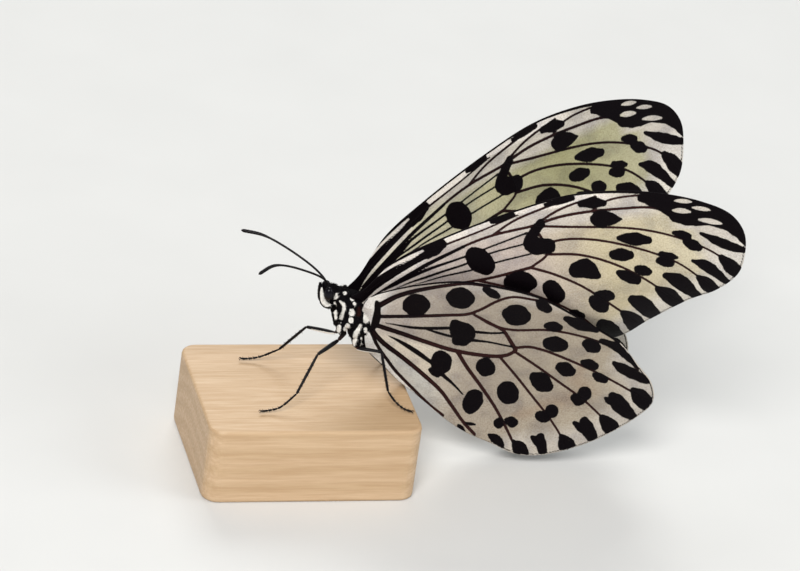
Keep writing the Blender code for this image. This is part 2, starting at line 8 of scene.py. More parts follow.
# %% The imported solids
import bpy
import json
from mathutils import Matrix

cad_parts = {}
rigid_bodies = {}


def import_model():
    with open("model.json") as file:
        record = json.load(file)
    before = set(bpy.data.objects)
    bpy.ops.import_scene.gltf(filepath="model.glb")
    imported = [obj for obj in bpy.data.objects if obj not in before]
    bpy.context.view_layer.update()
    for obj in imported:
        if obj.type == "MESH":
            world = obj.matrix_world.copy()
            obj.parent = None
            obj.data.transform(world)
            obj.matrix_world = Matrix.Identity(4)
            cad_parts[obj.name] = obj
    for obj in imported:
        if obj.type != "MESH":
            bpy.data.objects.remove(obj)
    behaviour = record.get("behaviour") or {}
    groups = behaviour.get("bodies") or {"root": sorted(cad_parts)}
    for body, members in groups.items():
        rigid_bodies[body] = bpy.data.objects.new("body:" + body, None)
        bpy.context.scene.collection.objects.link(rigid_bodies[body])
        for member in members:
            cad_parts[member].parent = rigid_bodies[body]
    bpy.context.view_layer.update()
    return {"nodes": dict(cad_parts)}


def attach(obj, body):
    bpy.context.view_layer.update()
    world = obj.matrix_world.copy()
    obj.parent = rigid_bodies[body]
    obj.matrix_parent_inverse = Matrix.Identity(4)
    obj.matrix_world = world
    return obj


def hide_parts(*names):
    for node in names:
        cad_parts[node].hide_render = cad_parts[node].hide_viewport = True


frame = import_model()

# %% Modules and the unit
import json
import math

import bpy
import numpy as np
from mathutils import Vector

MM = 0.001
print("one millimetre is", MM, "of the scene's metres")

# %% [markdown]
# ## Small helpers
# Blender's operators act on whatever is selected, and the solids come in selected, so every step starts
# by selecting only its own piece. Sizes are written in millimetres, like the sizes of the animal in a
# field guide, and a finished piece is scaled to metres once, when it is handed over to the body.

# %% Selecting, reading and writing a mesh
def only(*pieces):
    bpy.ops.object.select_all(action="DESELECT")
    for piece in pieces:
        piece.select_set(True)
    bpy.context.view_layer.objects.active = pieces[0]


def coordinates(piece):
    places = np.empty(len(piece.data.vertices) * 3)
    piece.data.vertices.foreach_get("co", places)
    return places.reshape(-1, 3)


def set_coordinates(piece, places):
    piece.data.vertices.foreach_set("co", np.asarray(places, float).ravel())
    piece.data.update()


def store(piece, name, values):
    """Keeps one number, or one vector, for each vertex under a name that a material can read."""
    values = np.asarray(values, float)
    kind, field = ("FLOAT", "value") if values.ndim == 1 else ("FLOAT_VECTOR", "vector")
    attribute = piece.data.attributes.get(name) or piece.data.attributes.new(name, kind, "POINT")
    attribute.data.foreach_set(field, values.ravel())


def apply_modifier(piece, kind, **settings):
    only(piece)
    change = piece.modifiers.new(kind.lower(), kind)
    for name, value in settings.items():
        setattr(change, name, value)
    bpy.ops.object.modifier_apply(modifier=change.name)


stand_solid = frame["nodes"]["stand_base"]
print("the block's solid has", len(coordinates(stand_solid)), "vertices")


# %% Measuring
def triangle_corners(piece):
    """The places of every triangle's three corners, as three rows of points."""
    piece.data.calc_loop_triangles()
    corners = np.empty(len(piece.data.loop_triangles) * 3, int)
    piece.data.loop_triangles.foreach_get("vertices", corners)
    return coordinates(piece)[corners].reshape(-1, 3, 3).transpose(1, 0, 2)


def volume(piece):
    """The signed volume, which is below zero when the faces point inwards."""
    a, b, c = triangle_corners(piece)
    return float((a * np.cross(b, c)).sum() / 6)


def ramp(values, start, end, most=1.0):
    """Rises evenly from 0 at the start to 1 at the end, but never above the most."""
    return np.clip((values - start) / (end - start), 0.0, most)


print("3 lies at", float(ramp(3.0, 2.0, 4.0)), "of the way from 2 to 4")


# %% Handing a piece over to the body
def hand_over(piece, name, finish, slot, *nodes):
    """Scales a piece to metres, gives it its finish, and lets it stand for the solids it covers."""
    if volume(piece) < 0:
        piece.data.flip_normals()
    set_coordinates(piece, coordinates(piece) * MM)
    piece.name = piece.data.name = name
    piece.data.materials.clear()
    piece.data.materials.append(finish)
    piece.data.shade_smooth()
    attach(piece, "root")
    if nodes:
        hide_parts(*nodes)
    piece.data.calc_loop_triangles()
    print(name, len(piece.data.loop_triangles), "triangles")


print("pieces are scaled by", MM, "and ride on the body called root")

# %% [markdown]
# ## Smooth lines
# Wing edges, veins, legs and feelers are all curves through a few points. A curve that keeps its points
# and rounds between them, in the manner of Catmull and Rom, lets us name only the places that matter.
# The same function carries a radius along as one more number beside the place.

# %% A curve that keeps its points
def curve_piece(four, pieces):
    """Places from the second of four points to the third, by three rounds of mixing neighbours."""
    knots = [0.0]
    for start, end in zip(four, four[1:]):
        knots.append(knots[-1] + max(np.linalg.norm(end - start), 1e-6) ** 0.5)
    made = []
    for place in range(pieces):
        at = knots[1] + (knots[2] - knots[1]) * place / pieces
        row = list(four)
        for spans in (((0, 1), (1, 2), (2, 3)), ((0, 2), (1, 3)), ((1, 2),)):
            row = [a * (knots[j] - at) / (knots[j] - knots[i]) + b * (at - knots[i]) / (knots[j] - knots[i])
                   for a, b, (i, j) in zip(row, row[1:], spans)]
        made.append(row[0])
    return made


def smooth_line(points, step):
    """A curve through all the points, with places about one step apart."""
    line = [np.array(point, float) for point in points]
    padded = [line[0] * 2 - line[1], *line, line[-1] * 2 - line[-2]]
    made = []
    for i in range(len(line) - 1):
        pieces = max(1, round(np.linalg.norm((line[i + 1] - line[i])[:3]) / step))
        made += curve_piece(padded[i:i + 4], pieces)
    return np.array(made + [line[-1]])


print("a curve through 3 points, 1 mm apart:", len(smooth_line(((0, 0), (5, 3), (10, 0)), 1.0)), "points")

# %% Chains of drops
CHAIN_STEP = 0.5
# A chain of two wide drops becomes an oval: its ends move outwards by a part of their radius and get
# thinner, and its middle gets a little wider.
OVAL_RADIUS, OVAL_REACH, OVAL_END, OVAL_MIDDLE = 0.3, 0.3, 0.7, 1.06


def chain_depth(points, chain):
    """How deep each point lies in a chain of round drops, given as places with a radius at the end."""
    chain = np.array(chain, float)
    best = np.full(len(points), -np.inf)
    for start, end in zip(chain, chain[1:]):
        span = end[:-1] - start[:-1]
        along = np.clip(((points - start[:-1]) @ span) / max(span @ span, 1e-9), 0.0, 1.0)
        away = np.linalg.norm(points - start[:-1] - along[:, None] * span, axis=1)
        best = np.maximum(best, start[-1] + (end[-1] - start[-1]) * along - away)
    return best


def rounded(chain):
    """A chain smoothed through its drops. One of two wide drops becomes an oval."""
    chain = np.array(chain, float)
    if len(chain) == 2 and chain[0][-1] > OVAL_RADIUS:
        first, last = chain
        ahead = (last - first) / max(np.linalg.norm((last - first)[:-1]), 1e-6)
        start, end = first - ahead * first[-1] * OVAL_REACH, last + ahead * last[-1] * OVAL_REACH
        start[-1], end[-1] = first[-1] * OVAL_END, last[-1] * OVAL_END
        middle = (first + last) / 2
        middle[-1] *= OVAL_MIDDLE
        chain = np.array((start, middle, end))
    return smooth_line(chain, CHAIN_STEP) if len(chain) > 2 else chain


print("depth in the middle of a drop 2 mm wide:", chain_depth(np.zeros((1, 2)), ((0, 0, 1), (0, 0, 1)))[0])


# %% Lines with a round section
def tubes(lines, roundness=2):
    """One mesh of many round lines, each given as rows of a place and a radius."""
    curve = bpy.data.curves.new("tubes", "CURVE")
    curve.dimensions = "3D"
    curve.bevel_depth = 1.0
    curve.bevel_resolution = roundness
    curve.use_fill_caps = True
    for line in lines:
        spline = curve.splines.new("POLY")
        spline.points.add(len(line) - 1)
        spline.points.foreach_set("co", np.column_stack([line[:, :3], np.ones(len(line))]).ravel())
        spline.points.foreach_set("radius", line[:, 3])
    made = bpy.data.objects.new("tubes", curve)
    bpy.context.scene.collection.objects.link(made)
    only(made)
    bpy.ops.object.convert(target="MESH")
    return bpy.context.object


print("round lines become meshes, with caps at their ends")

# %% [markdown]
# ## Floor, light and camera
# A still insect is best seen on a plain pale floor in soft light: one strong lamp from the front left,
# a weaker one from the animal's rear, one from its far side, and a pale sky.
# The camera looks along the picture's view, a little from above and from the animal's left,
# through a long lens at 0.9 m, and is rolled a few degrees, as the floor in this view slopes.

# %% The floor
FLOOR_SIZE = 6.0
bpy.ops.object.select_all(action="DESELECT")
bpy.ops.mesh.primitive_plane_add(size=FLOOR_SIZE)
floor = bpy.context.object
floor.name = "floor"
print("the floor is", FLOOR_SIZE, "m wide")

# %% Lamps and sky
SUBJECT = Vector((0.02, 0.0, 0.035))
# Each lamp: its place, size in metres, power in watts and colour.
LAMPS = {
    "key_light": ((-0.35, -0.75, 0.85), 0.5, 12.5, (1.0, 0.98, 0.95)),
    "side_light": ((0.85, -0.35, 0.5), 0.6, 3.2, (0.95, 0.98, 1.0)),
    "back_light": ((0.1, 0.8, 0.75), 0.6, 5.5, (1.0, 1.0, 0.96)),
}
SKY_COLOUR, SKY_STRENGTH = (0.93, 0.96, 1.0, 1.0), 0.32
for name, (place, size, power, colour) in LAMPS.items():
    bpy.ops.object.light_add(type="AREA", location=place)
    lamp = bpy.context.object
    lamp.name = name
    lamp.data.shape = "DISK"
    lamp.data.size = size
    lamp.data.energy = power
    lamp.data.color = colour
    lamp.rotation_euler = (Vector(place) - SUBJECT).to_track_quat("Z", "Y").to_euler()
world = bpy.data.worlds.new("studio")
bpy.context.scene.world = world
world.use_nodes = True
sky = world.node_tree.nodes["Background"]
sky.inputs["Color"].default_value = SKY_COLOUR
sky.inputs["Strength"].default_value = SKY_STRENGTH
print("lamps:", list(LAMPS))

# %% The camera
CAMERA_PLACE = (-0.2140, -0.7552, 0.4698)
CAMERA_TILT = math.radians(61.2457)
CAMERA_TURN = math.radians(-16.9357)
CAMERA_ROLL = math.radians(8.3336)
CAMERA_LENS, SENSOR_WIDTH, CLIP_START = 221.31, 36.0, 0.01
bpy.ops.object.camera_add(location=CAMERA_PLACE, rotation=(CAMERA_TILT, 0.0, CAMERA_TURN))
camera = bpy.context.object
camera.name = "camera"
camera.data.lens = CAMERA_LENS
camera.data.sensor_width = SENSOR_WIDTH
camera.data.clip_start = CLIP_START
camera.rotation_euler.rotate_axis("Z", CAMERA_ROLL)
bpy.context.scene.camera = camera
bpy.context.scene.view_settings.view_transform = "Standard"
print("camera at", [round(v, 3) for v in camera.location])

# %% [markdown]
# ## Finishes
# A finish here is a small network: patterns from noise decide colour, roughness and relief. A few helpers
# keep it short. One adds a node with its values, others mix colours or spread a value over a range, and
# one reads a number kept on the vertices.

# %% Adding nodes
def add_node(tree, kind, inputs=(), **settings):
    made = tree.nodes.new(kind)
    for name, value in settings.items():
        setattr(made, name, value)
    for name, value in dict(inputs).items():
        if isinstance(value, bpy.types.NodeSocket):
            tree.links.new(value, made.inputs[name])
        else:
            made.inputs[name].default_value = value
    return made


def object_places(tree):
    return add_node(tree, "ShaderNodeTexCoord").outputs["Object"]


def number(tree, name):
    """A number that store() kept on the vertices."""
    return add_node(tree, "ShaderNodeAttribute", attribute_name=name).outputs["Fac"]


def noise(tree, places, scale, detail=2.0, roughness=0.5):
    """Soft noise from 0 to 1. The scale is how many lumps there are in a unit of the places."""
    made = add_node(tree, "ShaderNodeTexNoise",
                    {"Vector": places, "Scale": scale, "Detail": detail, "Roughness": roughness})
    return made.outputs["Fac"]


print("places come from objects, from the plan or from a number on the vertices")

# %% Mixing colours and numbers
MIX_FACTOR, MIX_FIRST, MIX_SECOND, MIX_RESULT = 0, 6, 7, 2


def mixed(tree, amount, first, second, blend="MIX"):
    made = add_node(tree, "ShaderNodeMix", {MIX_FACTOR: amount, MIX_FIRST: first, MIX_SECOND: second},
                    data_type="RGBA", blend_type=blend)
    return made.outputs[MIX_RESULT]


def tinted(tree, colour, tint):
    """A colour multiplied by a fixed tint."""
    return mixed(tree, 1.0, colour, tint, "MULTIPLY")


def fade(tree, value, low, high, to_low=0.0, to_high=1.0):
    """Changes softly from one value to another while the input goes from low to high."""
    made = add_node(tree, "ShaderNodeMapRange", {"Value": value, "From Min": low, "From Max": high,
                    "To Min": to_low, "To Max": to_high}, interpolation_type="SMOOTHSTEP")
    return made.outputs["Result"]


def sums(tree, operation, first, second):
    made = add_node(tree, "ShaderNodeMath", {0: first, 1: second}, operation=operation)
    return made.outputs["Value"]


print("colours mix in a node whose inputs are numbered", (MIX_FACTOR, MIX_FIRST, MIX_SECOND))


# %% A new finish
def new_finish(name, roughness, **values):
    """A material with its node tree and its shader. Other values go to the inputs that they name."""
    made = bpy.data.materials.new(name)
    made.use_nodes = True
    shader = made.node_tree.nodes["Principled BSDF"]
    shader.inputs["Roughness"].default_value = roughness
    for word, value in values.items():
        shader.inputs[word.replace("_", " ")].default_value = value
    return made, made.node_tree, shader


def relief(tree, shader, height, depth):
    """Fine relief that only bends the light. The depth is in metres."""
    bump = add_node(tree, "ShaderNodeBump", {"Height": height, "Strength": 1.0, "Distance": depth})
    tree.links.new(bump.outputs["Normal"], shader.inputs["Normal"])


# %% The floor's finish
FLOOR_DARK, FLOOR_PALE = (0.64, 0.64, 0.63, 1), (0.68, 0.68, 0.67, 1)
finish, tree, shader = new_finish("pale_floor", 0.85)
speckle = noise(tree, object_places(tree), 40.0)
tree.links.new(mixed(tree, speckle, FLOOR_DARK, FLOOR_PALE), shader.inputs["Base Color"])
floor.data.materials.append(finish)
print("floor:", finish.name, "with", len(tree.nodes), "nodes")

# %% [markdown]
# ## The wooden block
# The block is a plain stand. Its solid already has the right shape, so it only gets a finish:
# pale wood, whose year rings are the distance from an axis below the block, bent by noise,
# and whose fine pores are noise stretched along the grain.

# %% Wood
RING_DARK, RING_PALE, PORE_BROWN = (0.56, 0.39, 0.23, 1), (0.63, 0.45, 0.28, 1), (0.36, 0.2, 0.09, 1)


def wood_finish():
    finish, tree, shader = new_finish("pale_wood", 0.5)
    places = object_places(tree)
    turned = add_node(tree, "ShaderNodeMapping", {"Vector": places, "Location": (0.0, 0.004, 0.03),
                      "Rotation": (0.02, 0.05, 0.03), "Scale": (0.1, 1.0, 1.0)}).outputs["Vector"]
    rings = add_node(tree, "ShaderNodeTexWave", {"Vector": turned, "Scale": 90.0, "Distortion": 5.0,
                     "Detail": 2.0, "Detail Scale": 0.6}, wave_type="RINGS", rings_direction="X")
    grain = add_node(tree, "ShaderNodeMapping", {"Vector": places, "Scale": (90.0, 1800.0, 1800.0)})
    pores = noise(tree, grain.outputs["Vector"], 1.0, 3.0, 0.6)
    ringed = mixed(tree, rings.outputs["Fac"], RING_DARK, RING_PALE)
    pored = mixed(tree, fade(tree, pores, 0.3, 0.75, 0.35, 0.0), ringed, PORE_BROWN)
    tree.links.new(pored, shader.inputs["Base Color"])
    tree.links.new(fade(tree, pores, 0.2, 0.8, 0.62, 0.42), shader.inputs["Roughness"])
    relief(tree, shader, pores, 0.00006)
    return finish


stand_solid.data.materials.clear()
stand_solid.data.materials.append(wood_finish())

# %% [markdown]
# ## The wings' shape
# A butterfly's wing is a thin skin held out by a fan of hollow veins, closed into a long cell near the
# body. It could be cut from a sheet by hand, but its edge must follow the real outline, so we add a fine
# grid as flat paper, throw away the triangles outside, and pull the rim onto the edge.
# Places on that paper are (out, across): out from the hinge to the tip, across to the rear edge.

# %% Wing outlines and veins, in millimetres
FOREWING_OUTLINE = (
    (-2.8, -1.3), (0.0, -2.4), (7.2, -7.6), (16.0, -10.6), (29.5, -13.8), (41.0, -15.4), (50.0, -14.5),
    (57.0, -12.5), (63.6, -9.4), (68.4, -5.6), (70.1, -1.2), (69.5, 3.2), (67.2, 8.2), (62.5, 11.5),
    (57.4, 12.9), (49.0, 17.2), (43.0, 21.3), (38.0, 22.0), (30.3, 18.2), (20.4, 11.8), (10.4, 6.0),
    (1.2, 1.4), (-2.8, 0.9),
)
HINDWING_OUTLINE = (
    (-3.1, -1.2), (-3.0, -3.4), (-2.9, -5.7), (-1.9, -7.5), (0.5, -9.7), (5.0, -12.9), (11.5, -16.1),
    (18.0, -17.0), (26.7, -16.7), (33.4, -14.5), (40.0, -11.8), (45.1, -9.4), (50.3, -4.9), (54.6, -0.9),
    (56.4, 3.4), (55.2, 7.1), (50.6, 13.6), (46.0, 17.7), (40.2, 21.0), (35.5, 21.9), (30.2, 20.7),
    (25.1, 19.6), (20.6, 17.8), (17.7, 16.2), (12.7, 13.4), (9.4, 11.7), (6.4, 9.7), (4.6, 8.5),
    (2.6, 7.2), (1.2, 6.0), (0.3, 4.4), (-0.6, 2.4), (-3.0, 0.9),
)
# Each vein: half the width of its dark line at the root and at the end, then its places.
FOREWING_VEINS = {
    "subcosta": (0.3, 0.14, (0.5, -1.6), (3.1, -3.3), (5.8, -4.5), (8.4, -5.7), (10.9, -6.9),
                 (13.4, -8.0), (16.1, -9.0), (23.4, -10.85), (31.0, -13.0)),
    "radius": (0.22, 0.26, (0.0, 0.0), (2.8, -1.4), (5.4, -2.7), (8.0, -3.8), (10.5, -4.9), (13.1, -5.8),
               (20.2, -8.3), (25.4, -9.5), (33.1, -10.1)),
    "radius_1": (0.22, 0.22, (25.4, -9.5), (30.0, -11.9), (40.0, -14.6)),
    "radius_2": (0.25, 0.2, (33.1, -10.1), (38.6, -12.7), (45.5, -14.2)),
    "radius_5": (0.28, 0.2, (33.1, -10.1), (38.3, -11.1), (43.4, -11.2), (48.4, -10.8), (54.9, -9.8),
                 (57.6, -8.2), (61.5, -6.8), (64.5, -6.1), (67.0, -4.8), (69.2, -1.8)),
    "radius_4": (0.2, 0.2, (44.0, -11.2), (47.0, -12.8), (50.5, -13.1), (54.5, -12.5), (57.8, -10.5),
                 (60.6, -9.2), (63.2, -9.0), (66.2, -7.0)),
    "media_1": (0.24, 0.18, (33.1, -10.1), (37.8, -9.0), (51.8, -5.6), (59.0, -1.9), (64.5, 2.8),
                (66.9, 7.4)),
    "media_2": (0.24, 0.18, (34.4, -6.0), (39.0, -6.0), (46.0, -3.9), (56.8, 2.8), (62.2, 10.6)),
    "media_3": (0.25, 0.19, (34.3, -3.5), (40.1, -2.2), (45.9, 1.1), (50.5, 5.6), (55.5, 13.1)),
    "cubitus_1": (0.26, 0.2, (30.8, -1.2), (34.8, 1.2), (39.5, 5.4), (44.5, 12.9), (46.8, 17.9)),
    "cubitus_2": (0.26, 0.2, (20.8, -0.3), (28.6, 4.0), (36.4, 11.4), (40.4, 21.0)),
    "cubitus": (0.12, 0.3, (-0.5, 0.3), (3.0, -0.2), (9.4, -0.4), (16.7, -0.4), (23.1, -0.4), (30.8, -1.2)),
    "cell_end": (0.26, 0.24, (33.1, -10.1), (34.4, -6.0), (34.3, -3.5), (30.8, -1.2)),
    "anal": (0.1, 0.16, (-0.5, 0.3), (3.0, 1.0), (12.0, 4.5), (24.0, 11.0), (35.0, 19.6)),
}
HINDWING_VEINS = {
    "humeral": (0.55, 0.26, (-0.1, -5.4), (2.0, -8.5), (4.2, -10.6), (6.5, -12.3), (9.8, -14.4),
                (12.9, -16.0), (17.0, -16.6)),
    "subcosta": (0.36, 0.25, (0.9, -2.6), (6.6, -4.5), (12.0, -6.5), (15.9, -8.1), (17.7, -10.0),
                 (19.8, -13.2), (22.0, -15.2), (27.0, -15.8)),
    "radius": (0.26, 0.22, (17.1, -8.3), (21.3, -6.7), (24.9, -6.6), (31.8, -8.7), (39.5, -8.8),
               (45.9, -7.2), (50.8, -3.6)),
    "media_1": (0.28, 0.2, (27.4, -2.4), (29.5, -3.3), (32.3, -3.3), (38.0, -2.2), (43.1, -0.9),
                (46.9, 0.3), (55.4, 3.4)),
    "media_2": (0.27, 0.2, (27.6, -1.3), (32.4, 0.9), (38.1, 3.7), (43.6, 6.4), (48.3, 9.4), (51.8, 11.6)),
    "media_3": (0.27, 0.2, (25.2, 0.7), (29.5, 4.2), (34.4, 8.4), (38.2, 11.6), (41.7, 14.9), (44.9, 18.6)),
    "cubitus_1": (0.4, 0.24, (17.3, 1.7), (20.4, 5.0), (24.4, 8.7), (28.4, 12.6), (31.7, 16.3), (36.0, 21.5)),
    "cubitus": (0.46, 0.34, (0.8, -0.3), (5.8, 0.3), (10.5, 1.0), (16.0, 1.6), (20.9, 1.4), (24.8, 0.7),
                (26.6, -0.3), (27.5, -1.7)),
    "cell_end": (0.26, 0.42, (17.1, -8.3), (21.3, -6.8), (23.5, -6.0), (25.2, -4.3), (27.4, -1.9)),
    "anal_1": (0.5, 0.3, (0.6, 1.1), (1.6, 2.1), (4.0, 3.8), (7.6, 5.7), (13.2, 8.9), (17.4, 11.6),
               (20.2, 14.1), (24.0, 17.6), (26.8, 19.6)),
    "anal_2": (0.34, 0.28, (0.6, 1.6), (2.1, 3.7), (3.5, 5.3), (5.7, 7.4), (7.9, 9.4), (12.4, 12.6),
               (16.6, 15.4), (19.7, 17.0)),
}
print("veins:", len(FOREWING_VEINS), "in each forewing,", len(HINDWING_VEINS), "in each hindwing")

# %% [markdown]
# ## The wings' marks
# The marks are rows of round and drop-shaped spots between the veins, doubled spots across some veins,
# and along the outer edge a black drop in each space and a black bulb on each vein's end.
# A drop is a chain of places, each (out, across, radius). Pale chains are drawn over the dark ones.
# The spots are ovals, a little longer across the wing than along it and a little askew, so their depth
# is measured with the wing's width squeezed and slanted.

# %% Forewing marks
FOREWING_MARKS = {
    "cell": ((21.4, -5.7, 1.7), (21.9, -4.9, 2.1), (22.9, -3.4, 1.8)),
    "cell_end": ((34.6, -10.4, 0.8), (31.7, -6.8, 1.1), (32.4, -5.9, 1.5), (34.8, -5.2, 1.4)),
    "space_2": ((27.3, 1.5, 2.1), (29.3, 2.0, 2.0)),
    "space_3": ((33.1, 2.9, 0.5), (33.8, 5.2, 2.4)),
    "space_4": ((38.9, 0.9, 1.5), (40.4, 0.9, 1.8), (42.3, 2.9, 0.7)),
    "space_5": ((46.3, -1.1, 1.1), (48.6, -0.5, 1.15)),
    "space_5_front": ((47.7, -4.5, 0.4), (50.3, -3.8, 1.2), (52.8, -3.0, 0.7)),
    "space_6": ((44.4, -9.4, 1.0), (45.4, -9.2, 1.6), (49.1, -8.5, 0.2)),
    "double_1": ((46.4, 3.3, 0.8), (48.8, 5.3, 1.2)),
    "double_1_front": ((50.1, 3.2, 1.1), (51.3, 3.9, 0.9)),
    "double_2": ((54.2, 2.0, 0.9), (55.6, 2.8, 0.9)),
    "double_2_front": ((54.8, 0.7, 0.8), (57.0, 1.8, 0.5)),
    "double_3": ((59.6, -1.2, 0.8), (61.2, 0.2, 1.0)),
    "double_3_front": ((57.9, -3.6, 0.6), (60.0, -2.5, 0.8)),
    "double_4": ((40.5, 9.0, 1.2), (41.6, 10.7, 1.4)),
    "double_4_front": ((41.8, 7.8, 1.1), (43.4, 8.3, 1.1)),
    "double_5": ((36.0, 11.4, 0.7), (37.2, 12.5, 0.9)),
    "drop_1": ((62.4, -2.6, 0.25), (65.1, -0.3, 0.8), (67.2, 1.3, 0.85), (69.4, 2.7, 0.55)),
    "drop_2": ((59.8, 3.1, 0.3), (62.0, 4.8, 1.0), (65.1, 9.9, 0.5)),
    "drop_3": ((54.3, 5.4, 0.5), (56.5, 7.5, 1.35), (59.2, 12.7, 0.65)),
    "drop_4": ((47.4, 10.3, 0.9), (48.9, 12.2, 1.5), (50.9, 17.2, 0.8)),
    "drop_5": ((40.6, 16.9, 1.3), (41.4, 19.0, 1.7), (42.6, 23.9, 1.1)),
    "bulb_1": ((65.1, 3.6, 0.6), (66.4, 6.1, 1.3), (67.3, 8.0, 1.0)),
    "bulb_2": ((60.2, 7.5, 0.6), (61.4, 9.7, 1.25), (62.5, 11.8, 0.9)),
    "bulb_3": ((52.4, 8.7, 0.6), (54.0, 10.9, 1.4), (55.4, 13.9, 1.0)),
    "bulb_4": ((44.9, 13.8, 0.6), (46.2, 17.0, 1.6), (47.0, 19.7, 1.25)),
    "bulb_5": ((39.0, 17.8, 0.5), (40.0, 20.2, 1.2), (40.6, 22.0, 1.0)),
    "space_1": ((21.0, 5.4, 1.3), (23.6, 7.2, 1.5)),
    "space_1_outer": ((30.0, 11.6, 1.3), (31.4, 13.0, 1.5)),
    "drop_6": ((36.0, 17.0, 0.6), (37.4, 19.6, 1.1), (37.8, 21.6, 0.7)),
    "costa_1": ((13.0, -7.9, 0.9), (15.9, -9.3, 1.2)),
    "costa_2": ((26.2, -12.5, 0.6), (29.9, -13.3, 0.6)),
    "costa_3": ((36.4, -14.2, 0.5), (41.2, -14.6, 0.6)),
    "costa_4": ((42.6, -13.2, 0.6), (44.6, -13.0, 0.95), (46.5, -12.5, 0.6)),
    "root": ((-3.0, -0.4, 1.5), (0.4, -2.2, 1.35), (2.4, -3.4, 1.1), (4.0, -4.0, 0.8), (6.0, -4.7, 0.68),
             (8.4, -5.7, 0.7), (10.9, -6.8, 0.7), (13.4, -7.9, 0.85)),
    "radius_root": ((1.5, -0.8, 0.2), (4.0, -2.1, 0.34), (8.0, -3.8, 0.38), (13.1, -5.8, 0.36),
                    (20.0, -8.2, 0.28)),
    "tip": ((53.4, -12.3, 0.7), (57.4, -10.1, 1.55), (61.0, -7.6, 2.35), (64.6, -6.1, 1.75),
            (67.3, -3.8, 1.2), (69.2, -1.0, 0.8), (70.0, 1.4, 0.5)),
    "tip_tooth": ((58.5, -7.2, 1.0), (60.4, -6.0, 0.9), (61.9, -4.9, 0.5)),
    "fold_1": ((3.6, -1.6, 0.2), (7.9, -3.2, 0.34), (12.8, -4.6, 0.27), (19.6, -6.0, 0.2), (23.3, -6.9, 0.18),
               (31.8, -8.9, 0.18)),
    "fold_2": ((5.0, -1.3, 0.08), (8.8, -2.4, 0.17), (11.5, -2.9, 0.22), (15.0, -3.6, 0.22),
               (19.4, -4.4, 0.2), (24.2, -5.8, 0.18), (30.6, -6.6, 0.17)),
    "fold_3": ((7.6, -1.5, 0.06), (11.3, -2.0, 0.13), (14.7, -2.5, 0.17), (20.5, -2.9, 0.19),
               (24.6, -3.6, 0.18), (31.9, -4.3, 0.17)),
}
FOREWING_PALE = {
    "costa": ((2.6, -4.6, 0.05), (4.2, -5.5, 0.14), (6.1, -6.45, 0.2), (8.7, -7.45, 0.24),
              (11.2, -8.3, 0.24), (12.4, -8.7, 0.16)),
    "root": ((-0.6, 0.5, 0.1), (1.0, -0.8, 0.18), (2.9, -2.0, 0.25), (5.5, -3.3, 0.3), (8.2, -4.6, 0.32),
             (10.8, -5.75, 0.32), (12.6, -6.55, 0.22)),
    "tip_1": ((59.1, -10.5, 0.08), (60.0, -10.3, 0.3), (61.2, -9.9, 0.32), (62.1, -9.6, 0.08)),
    "tip_2": ((58.4, -8.5, 0.12), (59.3, -8.3, 0.4), (60.5, -7.9, 0.4), (61.5, -7.5, 0.12)),
    "tip_3": ((62.0, -8.4, 0.08), (62.9, -8.1, 0.29), (64.1, -7.6, 0.3), (65.0, -7.2, 0.08)),
    "tip_4": ((62.6, -5.6, 0.12), (63.8, -5.2, 0.36), (65.3, -4.5, 0.38), (66.5, -3.9, 0.1)),
}
# Only the inner side, which the far wing shows, is also dark behind the front vein's root.
FOREWING_ROOT_SHADE = ((0.0, 0.3, 1.2), (3.0, -0.6, 1.0), (6.0, -1.8, 0.8), (9.0, -3.0, 0.5),
                       (11.8, -4.2, 0.2))
print("forewing marks:", len(FOREWING_MARKS), "dark and", len(FOREWING_PALE), "pale")

